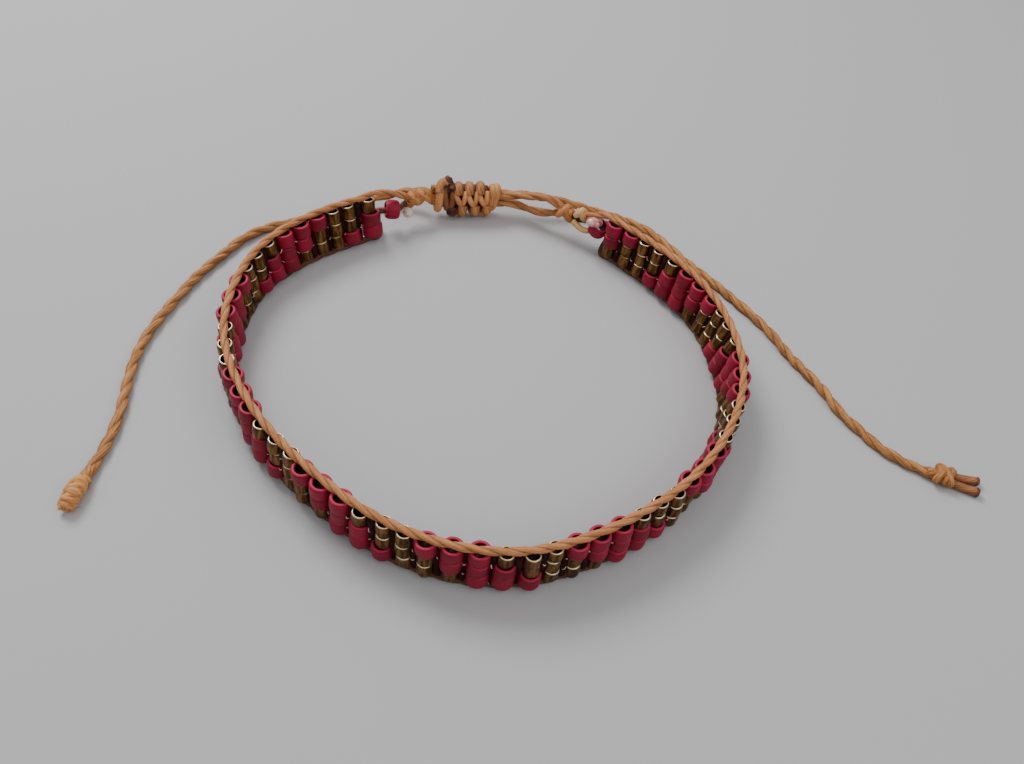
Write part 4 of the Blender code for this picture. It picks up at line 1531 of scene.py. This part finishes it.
    def burnt_ends(self) -> bpy.types.Object:
        """The melted ends of the working cord.

        Returns:
            Their lumps as one object.
        """
        rng = np.random.default_rng(3)
        lumps = []
        for x, y, z, radius in BURNT_LUMPS:
            bpy.ops.object.select_all(action="DESELECT")
            bpy.ops.mesh.primitive_ico_sphere_add(subdivisions=3, radius=radius * MM)
            lump = bpy.context.object
            waves = rng.normal(size=(5, 3)) * 2.2 / (radius * MM)
            for vertex in lump.data.vertices:
                bulge = sum(math.sin(float(wave @ np.array(vertex.co)) + k) for k, wave in enumerate(waves))
                vertex.co *= 1.0 + 0.06 * bulge
            lump.data.transform(Matrix.Translation(Vector(self.in_knot((x, y, z))[0])))
            lump.data.shade_smooth()
            lumps.append(lump)
        select_only(*lumps)
        bpy.ops.object.join()
        lumps[0].name = "sliding_knot_burnt_ends"
        return lumps[0]

    def wrapped_knot(self, knot: WrappedKnot, start: float) -> tuple[list[Strand], np.ndarray, np.ndarray]:
        """A small knot as slanted wraps over a core.

        Args:
            knot: Its place and sizes.
            start: How far along the loop its end of the band is.

        Returns:
            Its strands, its middle, and half of the way between its ends as a vector.
        """
        near, far = (self.loop.point(start + past * MM, up * MM) for past, up in (knot.near, knot.far))
        middle = (near + far) / 2
        axis = (far - near) / np.linalg.norm(far - near)
        length, strand = knot.length * MM, knot.strand * MM
        size = knot.radius * MM - strand / 2
        strands = []
        for number in range(knot.wraps):
            share = (number + 0.5) / knot.wraps - 0.5
            spot = middle + axis * share * (length - strand * 0.4)
            sign = -1 if number % 2 else 1
            wrap = oval(spot, axis, UP, (size * 0.95, size), sign * knot.slant * MM, WRAP_STEP)
            strands.append(Strand(wrap, strand, closed=True, tone=0.3 + 0.42 * (number % 2)))
        half = axis * (length / 2 - 0.1 * MM)
        core = np.linspace(middle - half, middle + half, 6)
        strands.append(Strand(core, size * 2))
        return strands, middle, (far - near) / 2

    def build(
        self, knotted: bpy.types.Material, cord: bpy.types.Material, shaded: bpy.types.Material,
        tan: bpy.types.Material, burnt: bpy.types.Material,
    ) -> None:
        """Build and dress the closure.

        Args:
            knotted: The finish of the pressed cord of the sliding knot.
            cord: The brown cord's finish.
            shaded: The finish of cord painted dark for the shade it lies in.
            tan: The tan cord's finish.
            burnt: The burnt ends' finish.
        """
        knot = strands_object("square_knots", self.square_knots(), knotted)
        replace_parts(knot, "sliding_knot")
        strands_object("sliding_knot_core", self.core_strands(), shaded)
        finish_object(self.burnt_ends(), burnt)
        self.left_end_knot(cord)
        self.right_tan_knot(tan)
        self.right_end_knot(cord)
        self.closure_cords(cord)

    def left_end_knot(self, cord: bpy.types.Material) -> None:
        """Tie the left edge cords together, with a short neck to the sliding knot.

        Args:
            cord: The cord's finish.
        """
        strands, middle, half = self.wrapped_knot(self.left_end, 0.0)
        far = self.loop.point(self.left_end.far[0] * MM, self.left_end.far[1] * MM)
        ends = self.in_knot(((-0.1, -0.33, -0.15), (0.6, -0.1, -0.1)))
        neck = even_points(np.array([middle, far, *ends]), CORD_STEP)
        strands += twisted_pair(neck, self.neck_diameter, lay_angles(neck, self.neck_lay))
        strands += whiskers(middle, half, 1.0 * MM, 0.7 * MM, 14, 61)
        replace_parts(strands_object("left_end_knot_wraps", strands, cord), "left_end_knot")

    def right_tan_knot(self, tan: bpy.types.Material) -> None:
        """Tie the small tan knot and its lead under the right end bead.

        Args:
            tan: The tan cord's finish.
        """
        loop = self.loop
        strands, _, _ = self.wrapped_knot(self.tan_end, loop.band)
        lead = [loop.point(loop.band + past * MM, height * MM, out * MM) for past, height, out in TAN_LEAD]
        strands.append(Strand(even_points(np.array(lead), WRAP_STEP), self.tan_diameter))
        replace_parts(strands_object("right_tan_knot_wraps", strands, tan), "right_tan_knot")

    def right_end_knot(self, cord: bpy.types.Material) -> None:
        """Tie the right edge cords together.

        Args:
            cord: The cord's finish.
        """
        strands, middle, half = self.wrapped_knot(self.right_end, self.loop.band)
        strands += whiskers(middle, half, 1.0 * MM, 0.9 * MM, 26, 62)
        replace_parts(strands_object("right_end_knot_wraps", strands, cord), "right_end_knot")

    def closure_cords(self, cord: bpy.types.Material) -> None:
        """Lead the two cords from the right end knot into the sliding knot, apart between them.

        Args:
            cord: The cord's finish.
        """
        loop = self.loop
        for name, sign in (("upper_closure", 1.0), ("lower_closure", -1.0)):
            route = [
                loop.point(loop.band + past * MM, (height + sign * apart) * MM)
                for past, height, apart in CLOSURE_RUN
            ]
            route += [*self.in_knot(((8.4, -0.35, sign * 0.56), (7.4, -0.1, sign * 0.5)))]
            line = even_points(np.array(route), CORD_STEP)
            plies = twisted_pair(line, self.cord_diameter, lay_angles(line, self.cord_lay, sign))
            made = strands_object(name + "_twist", plies, cord)
            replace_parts(made, name + "_cord")


@dataclass
class PullCords:
    """The two free pull cords and the knots at their ends."""

    loop: LoopLine
    closure: Closure
    diameter: float = 1.1 * MM
    lay: float = 4.8 * MM
    tip_radius: float = 0.52 * MM

    def line(self, exit_spot: Point, route: Route) -> np.ndarray:
        """The line of a pull cord.

        Args:
            exit_spot: Where it leaves the sliding knot, in that knot's frame and mm.
            route: Its chosen points.

        Returns:
            Even points along it.
        """
        scale, shift = self.loop.scale, self.loop.shift
        chosen = [(x * scale + shift[0], y * scale + shift[1], height * MM) for x, y, height in route]
        exit_point = self.closure.in_knot(exit_spot)[0]
        points = even_points(np.array([exit_point, *chosen]), 0.4 * MM)
        points[:, 2] = np.maximum(points[:, 2], FLOOR_LEVEL * MM)
        return points

    @staticmethod
    def heading(line: np.ndarray) -> np.ndarray:
        """The level direction at the end of a line.

        Args:
            line: The line.

        Returns:
            The direction, of length 1.
        """
        ahead = line[-1] - line[-3]
        ahead[2] = 0.0
        return ahead / np.linalg.norm(ahead)

    def left_knot(self, line: np.ndarray) -> list[Strand]:
        """The long tapering knot of the left pull cord, wound with fine cord.

        Args:
            line: The left pull cord's line.

        Returns:
            Its strands.
        """
        ahead = self.heading(line)
        across = np.array([-ahead[1], ahead[0], 0.0])
        start = line[-1]
        stations = (0.4, 0.8, 1.5, 2.4, 3.2, 3.9, 4.2)
        radii = (0.55, 0.72, 0.84, 0.9, 0.86, 0.7, 0.5)
        heights = (0.58, 0.8, 0.98, 1.02, 0.92, 0.68, 0.5)
        turns = 5.5
        angles = np.linspace(0.0, turns * 2 * math.pi, int(turns * 22))
        strands = []
        for lead, thick, tone, sway, slant in ((0.0, 0.56, 0.7, 0.5, 0.28), (0.35, 0.5, 0.95, 1.4, -0.34)):
            at = 0.7 + (angles / angles[-1]) * 3.1 + lead * 0.49
            radius = np.interp(at, stations, radii) - thick / 2
            radius = radius * (1 + 0.05 * np.sin(angles * 1.7 + 4 * sway))
            wave = slant * np.sin(angles + 0.6) + 0.12 * np.sin(angles * sway)
            centre = start + ahead * ((at + wave)[:, None] * MM)
            centre[:, 2] = np.interp(at, stations, heights) * MM
            ring = np.cos(angles)[:, None] * across + np.sin(angles)[:, None] * UP
            strands.append(Strand(centre + ring * radius[:, None] * MM, thick * MM, THIN_SIDES, tone=tone))
        core = np.array([start + ahead * past * MM for past in (-0.6, 1.4, 3.2, 4.0)])
        core[:, 2] = (0.56 * MM, 0.95 * MM, 0.84 * MM, 0.55 * MM)
        strands.append(Strand(even_points(core, CORD_STEP), 1.25 * MM, THICK_SIDES, taper=(0.9, 0.75)))
        neck = start + ahead * 0.7 * MM
        neck[2] = 0.66 * MM
        ring = oval(neck, ahead, UP, (0.68 * MM, 0.62 * MM), 0.22 * MM, 0.15 * MM)
        strands.append(Strand(ring, 0.17 * MM, THIN_SIDES, closed=True, tone=1.0))
        middle = start + ahead * 2.2 * MM
        middle[2] = 0.95 * MM
        return strands + whiskers(middle, ahead * 1.8 * MM, 0.98 * MM, 0.5 * MM, 26, 71)

    def right_knot(self, line: np.ndarray) -> list[Strand]:
        """The short overhand knot of the right pull cord.

        Args:
            line: The right pull cord's line.

        Returns:
            Its strands.
        """
        ahead = self.heading(line)
        across = np.array([-ahead[1], ahead[0], 0.0])
        centre = line[-1] + ahead * 1.05 * MM
        centre[2] = 0.94 * MM
        strands = []
        for at, tilt, wide, high, thick, turn in (
            (-0.5, 0.25, 0.74, 0.48, 0.72, 0.2), (0.0, 0.95, 0.95, 0.56, 0.66, -0.1),
            (0.1, -0.85, 0.92, 0.60, 0.66, 0.15), (0.55, 0.3, 0.78, 0.46, 0.74, -0.25),
        ):
            size = (wide * MM, high * MM)
            wrap = oval(centre + ahead * at * MM, ahead + across * turn, UP, size, 0.0, WRAP_STEP)
            slant = (wrap - centre) @ across
            strands.append(Strand(wrap + np.outer(slant * tilt * 0.7, ahead), thick * MM, closed=True))
        core = np.linspace(line[-1] - ahead * 0.5 * MM, centre + ahead * 0.9 * MM, 6)
        strands.append(Strand(core, 1.15 * MM))
        return strands + whiskers(centre, ahead * 0.8 * MM, 0.95 * MM, 0.5 * MM, 14, 72)

    def tail_end(self, line: np.ndarray, side: float) -> tuple[list[Strand], np.ndarray]:
        """One of the two cord ends past the right knot.

        Args:
            line: The right pull cord's line.
            side: 1 for the upper end in the picture and -1 for the lower one.

        Returns:
            Its strands, and the point where it ends.
        """
        ahead = self.heading(line)
        across = np.array([-ahead[1], ahead[0], 0.0])
        root = line[-1] + ahead * 1.6 * MM
        away = ahead + across * (0.26 if side > 0 else 0.04)
        away /= np.linalg.norm(away)
        base = root + across * side * 0.40 * MM
        points = np.array([base, base + away * 1.6 * MM, base + away * 3.1 * MM])
        points[:, 2] = (0.7 * MM, 0.5 * MM, 0.45 * MM)
        return [Strand(even_points(points, CORD_STEP), 0.80 * MM, taper=(1.0, 1.22))], points[-1]

    def melted_tip(self, tip: np.ndarray, heading: np.ndarray, side: float) -> bpy.types.Object:
        """The flattened, melted lump at the tip of a cord end.

        Args:
            tip: Where the cord ends.
            heading: The direction in which it is flattened.
            side: 1 for the upper end in the picture and -1 for the lower one.

        Returns:
            The lump.
        """
        bpy.ops.object.select_all(action="DESELECT")
        bpy.ops.mesh.primitive_ico_sphere_add(subdivisions=3, radius=self.tip_radius)
        lump = bpy.context.object
        for vertex in lump.data.vertices:
            ripple = math.sin(9000 * vertex.co.x + 2 * side) * math.cos(8000 * vertex.co.y)
            vertex.co *= 1.0 + 0.08 * ripple
        lump.data.transform(Matrix.Translation(Vector(tip)) @ Matrix.Scale(0.6, 4, Vector(heading)))
        lump.data.shade_smooth()
        return lump

    def build(self, cord: bpy.types.Material, burnt: bpy.types.Material, singed: bpy.types.Material) -> None:
        """Build and dress both pull cords.

        Args:
            cord: The cord's finish.
            burnt: The burnt tips' finish.
            singed: The finish of the cord just before its tips.
        """
        left = self.line((-0.2, 0.5, 0.75), LEFT_TAIL_ROUTE)
        right = self.line((8.4, 0.792, 0.1), RIGHT_TAIL_ROUTE)
        left_knot = strands_object("left_tail_knot_wraps", self.left_knot(left), cord)
        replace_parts(left_knot, "left_tail_knot")
        right_knot = strands_object("right_tail_knot_wraps", self.right_knot(right), cord)
        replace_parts(right_knot, "right_tail_knot")
        right_pieces = [right_knot]
        for name, side in (("upper", 1.0), ("lower", -1.0)):
            strands, tip = self.tail_end(right, side)
            end = strands_object(f"right_tail_end_{name}_strand", strands, singed)
            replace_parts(end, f"right_tail_end_{name}")
            melted = self.melted_tip(tip, self.heading(right), side)
            melted.name = f"right_tail_end_{name}_melted_tip"
            finish_object(melted, burnt)
            right_pieces += [end, melted]
        for name, line, pieces in (("left_tail", left, [left_knot]), ("right_tail", right, right_pieces)):
            plies = twisted_pair(line, self.diameter, lay_angles(line, self.lay))
            made = strands_object(name + "_twist", plies, cord)
            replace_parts(made, name)


@dataclass
class GlueDrops:
    """The two drops of glue beside the end beads."""

    left_size: tuple[float, float, float] = (0.60 * MM, 0.60 * MM, 0.74 * MM)
    right_size: tuple[float, float, float] = (0.95 * MM, 0.76 * MM, 0.52 * MM)

    def build(self, left: bpy.types.Material, right: bpy.types.Material) -> None:
        """Build and dress both drops.

        Args:
            left: The left drop's finish.
            right: The right drop's finish.
        """
        for node, size, finish in (
            ("left_glue_drop", self.left_size, left), ("right_glue_drop", self.right_size, right),
        ):
            low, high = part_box(node)
            centre = (Vector(low) + Vector(high)) / 2
            bpy.ops.object.select_all(action="DESELECT")
            bpy.ops.mesh.primitive_uv_sphere_add(segments=20, ring_count=12, radius=1.0)
            drop = bpy.context.object
            drop.name = node + "_bead"
            for vertex in drop.data.vertices:
                sag = 1.0 + 0.18 * (0.5 - 0.5 * vertex.co.z)
                vertex.co.x *= sag
                vertex.co.y *= sag
            drop.data.transform(Matrix.Translation(centre) @ Matrix.Diagonal((*size, 1.0)))
            drop.data.shade_smooth()
            finish_object(drop, finish)
            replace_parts(drop, node)


@dataclass
class Studio:
    """The floor, the light and the camera."""

    camera_spot: Point = (3.377 * MM, -65.194 * MM, 73.15 * MM)
    pitch: float = 48.98
    roll: float = 8.82
    lens: float = 31.64

    def floor(self, finish: bpy.types.Material) -> None:
        """Lay the floor.

        Args:
            finish: Its finish.
        """
        bpy.ops.object.select_all(action="DESELECT")
        bpy.ops.mesh.primitive_plane_add(size=6.0, location=(0, 0, 0))
        made = bpy.context.object
        made.name = "floor"
        made.data.materials.append(finish)

    def lights(self) -> None:
        """Hang one broad soft light at the back left and fill the room with pale light."""
        world = bpy.data.worlds.new("room")
        bpy.context.scene.world = world
        world.use_nodes = True
        background = world.node_tree.nodes["Background"]
        tree = world.node_tree
        direction = add_node(tree, "ShaderNodeTexCoord", {}, "Generated", ())
        split = tree.nodes.new("ShaderNodeSeparateXYZ")
        tree.links.new(direction.socket, split.inputs[0])
        overhead = Shade(tree, split.outputs[2]).between(-0.1, 0.85)
        sky = blend(overhead, (0.10, 0.10, 0.11), (0.95, 0.97, 1.0))
        tree.links.new(sky.socket, background.inputs["Color"])
        background.inputs["Strength"].default_value = 0.75
        for name, spot, size, power in (
            ("key", (-0.16, 0.16, 0.26), 0.16, 0.85),
            ("fill", (0.22, -0.12, 0.26), 0.25, 0.22),
        ):
            data = bpy.data.lights.new(name, "AREA")
            data.shape = "DISK"
            data.size = size
            data.energy = power
            lamp = bpy.data.objects.new(name, data)
            lamp.location = spot
            lamp.rotation_euler = (-Vector(spot)).to_track_quat("-Z", "Y").to_euler()
            bpy.context.scene.collection.objects.link(lamp)

    def camera(self) -> None:
        """Place the camera."""
        pitch, roll = math.radians(self.pitch), math.radians(self.roll)
        ahead = Vector((0.0, math.cos(pitch), -math.sin(pitch)))
        up = Vector((0.0, math.sin(pitch), math.cos(pitch)))
        right = Vector((1.0, 0.0, 0.0))
        x_axis = right * math.cos(roll) + up * math.sin(roll)
        y_axis = up * math.cos(roll) - right * math.sin(roll)
        data = bpy.data.cameras.new("camera")
        data.sensor_fit = "HORIZONTAL"
        data.sensor_width = 36.0
        data.lens = self.lens
        data.clip_start = 0.001
        data.clip_end = 20.0
        made = bpy.data.objects.new("camera", data)
        turn = Matrix((x_axis, y_axis, -ahead)).transposed().to_4x4()
        made.matrix_world = Matrix.Translation(Vector(self.camera_spot)) @ turn
        bpy.context.scene.collection.objects.link(made)
        bpy.context.scene.camera = made


def main() -> None:
    """Build the bracelet and its studio."""
    logging.basicConfig(level=logging.INFO, format="%(message)s")
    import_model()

    studio = Studio()
    studio.camera()
    studio.lights()
    studio.floor(FloorFinish("pale_floor", roughness=0.8).make())

    cord = CordFinish("waxed_cord_finish").make()
    tail = CordFinish(
        "twisted_cord_finish", light=(0.70, 0.31, 0.085), dark=(0.27, 0.08, 0.014), streaky=0.9
    ).make()
    tan = CordFinish("tan_thread_finish", light=(0.86, 0.55, 0.24), dark=(0.55, 0.27, 0.09)).make()
    # Painted shade: a dark copy of the cord finish, for the lower edge cord and the sliding knot's core
    shaded = CordFinish("shaded_cord_finish", light=(0.20, 0.065, 0.02), dark=(0.06, 0.018, 0.006)).make()
    edge = CordFinish("edge_cord_finish", light=(0.75, 0.31, 0.11), dark=(0.43, 0.14, 0.036)).make()
    # Painted shade: a near-black finish for the thread strands in the bead holes and the gaps between columns
    thread_shade = CordFinish(
        "shade_thread_finish", specular=0.1, light=(0.040, 0.008, 0.005), dark=(0.012, 0.002, 0.002)
    ).make()
    knotted = CordFinish(
        "knot_cord_finish", light=(0.68, 0.29, 0.09), dark=(0.19, 0.055, 0.012), streaky=0.95
    ).make()
    singed = CordFinish(
        "singed_cord_finish", light=(0.50, 0.19, 0.055), dark=(0.13, 0.038, 0.011), streaky=0.95
    ).make()
    burnt = BurntFinish("burnt_cord_finish").make()

    loop = LoopLine()
    closure = Closure(loop)
    PullCords(loop, closure).build(tail, burnt, singed)
    EdgeCords(loop).build(edge, shaded)
    BeadBand(loop).build(
        RedBeadFinish("red_bead_finish", specular=0.3).make(),
        GoldBeadFinish("gold_bead_finish", metallic=0.9).make(),
        ThreadFinish("sewing_thread_finish", coat=0.3).make(),
        thread_shade,
    )
    closure.build(knotted, cord, shaded, tan, burnt)
    GlueDrops().build(
        GlueFinish("milky_glue_finish", coat=0.6).make(),
        GlueFinish("rosy_glue_finish", coat=0.6, milky=(0.80, 0.44, 0.38), clear=(0.52, 0.14, 0.13)).make(),
    )


if __name__ == "__main__":
    main()
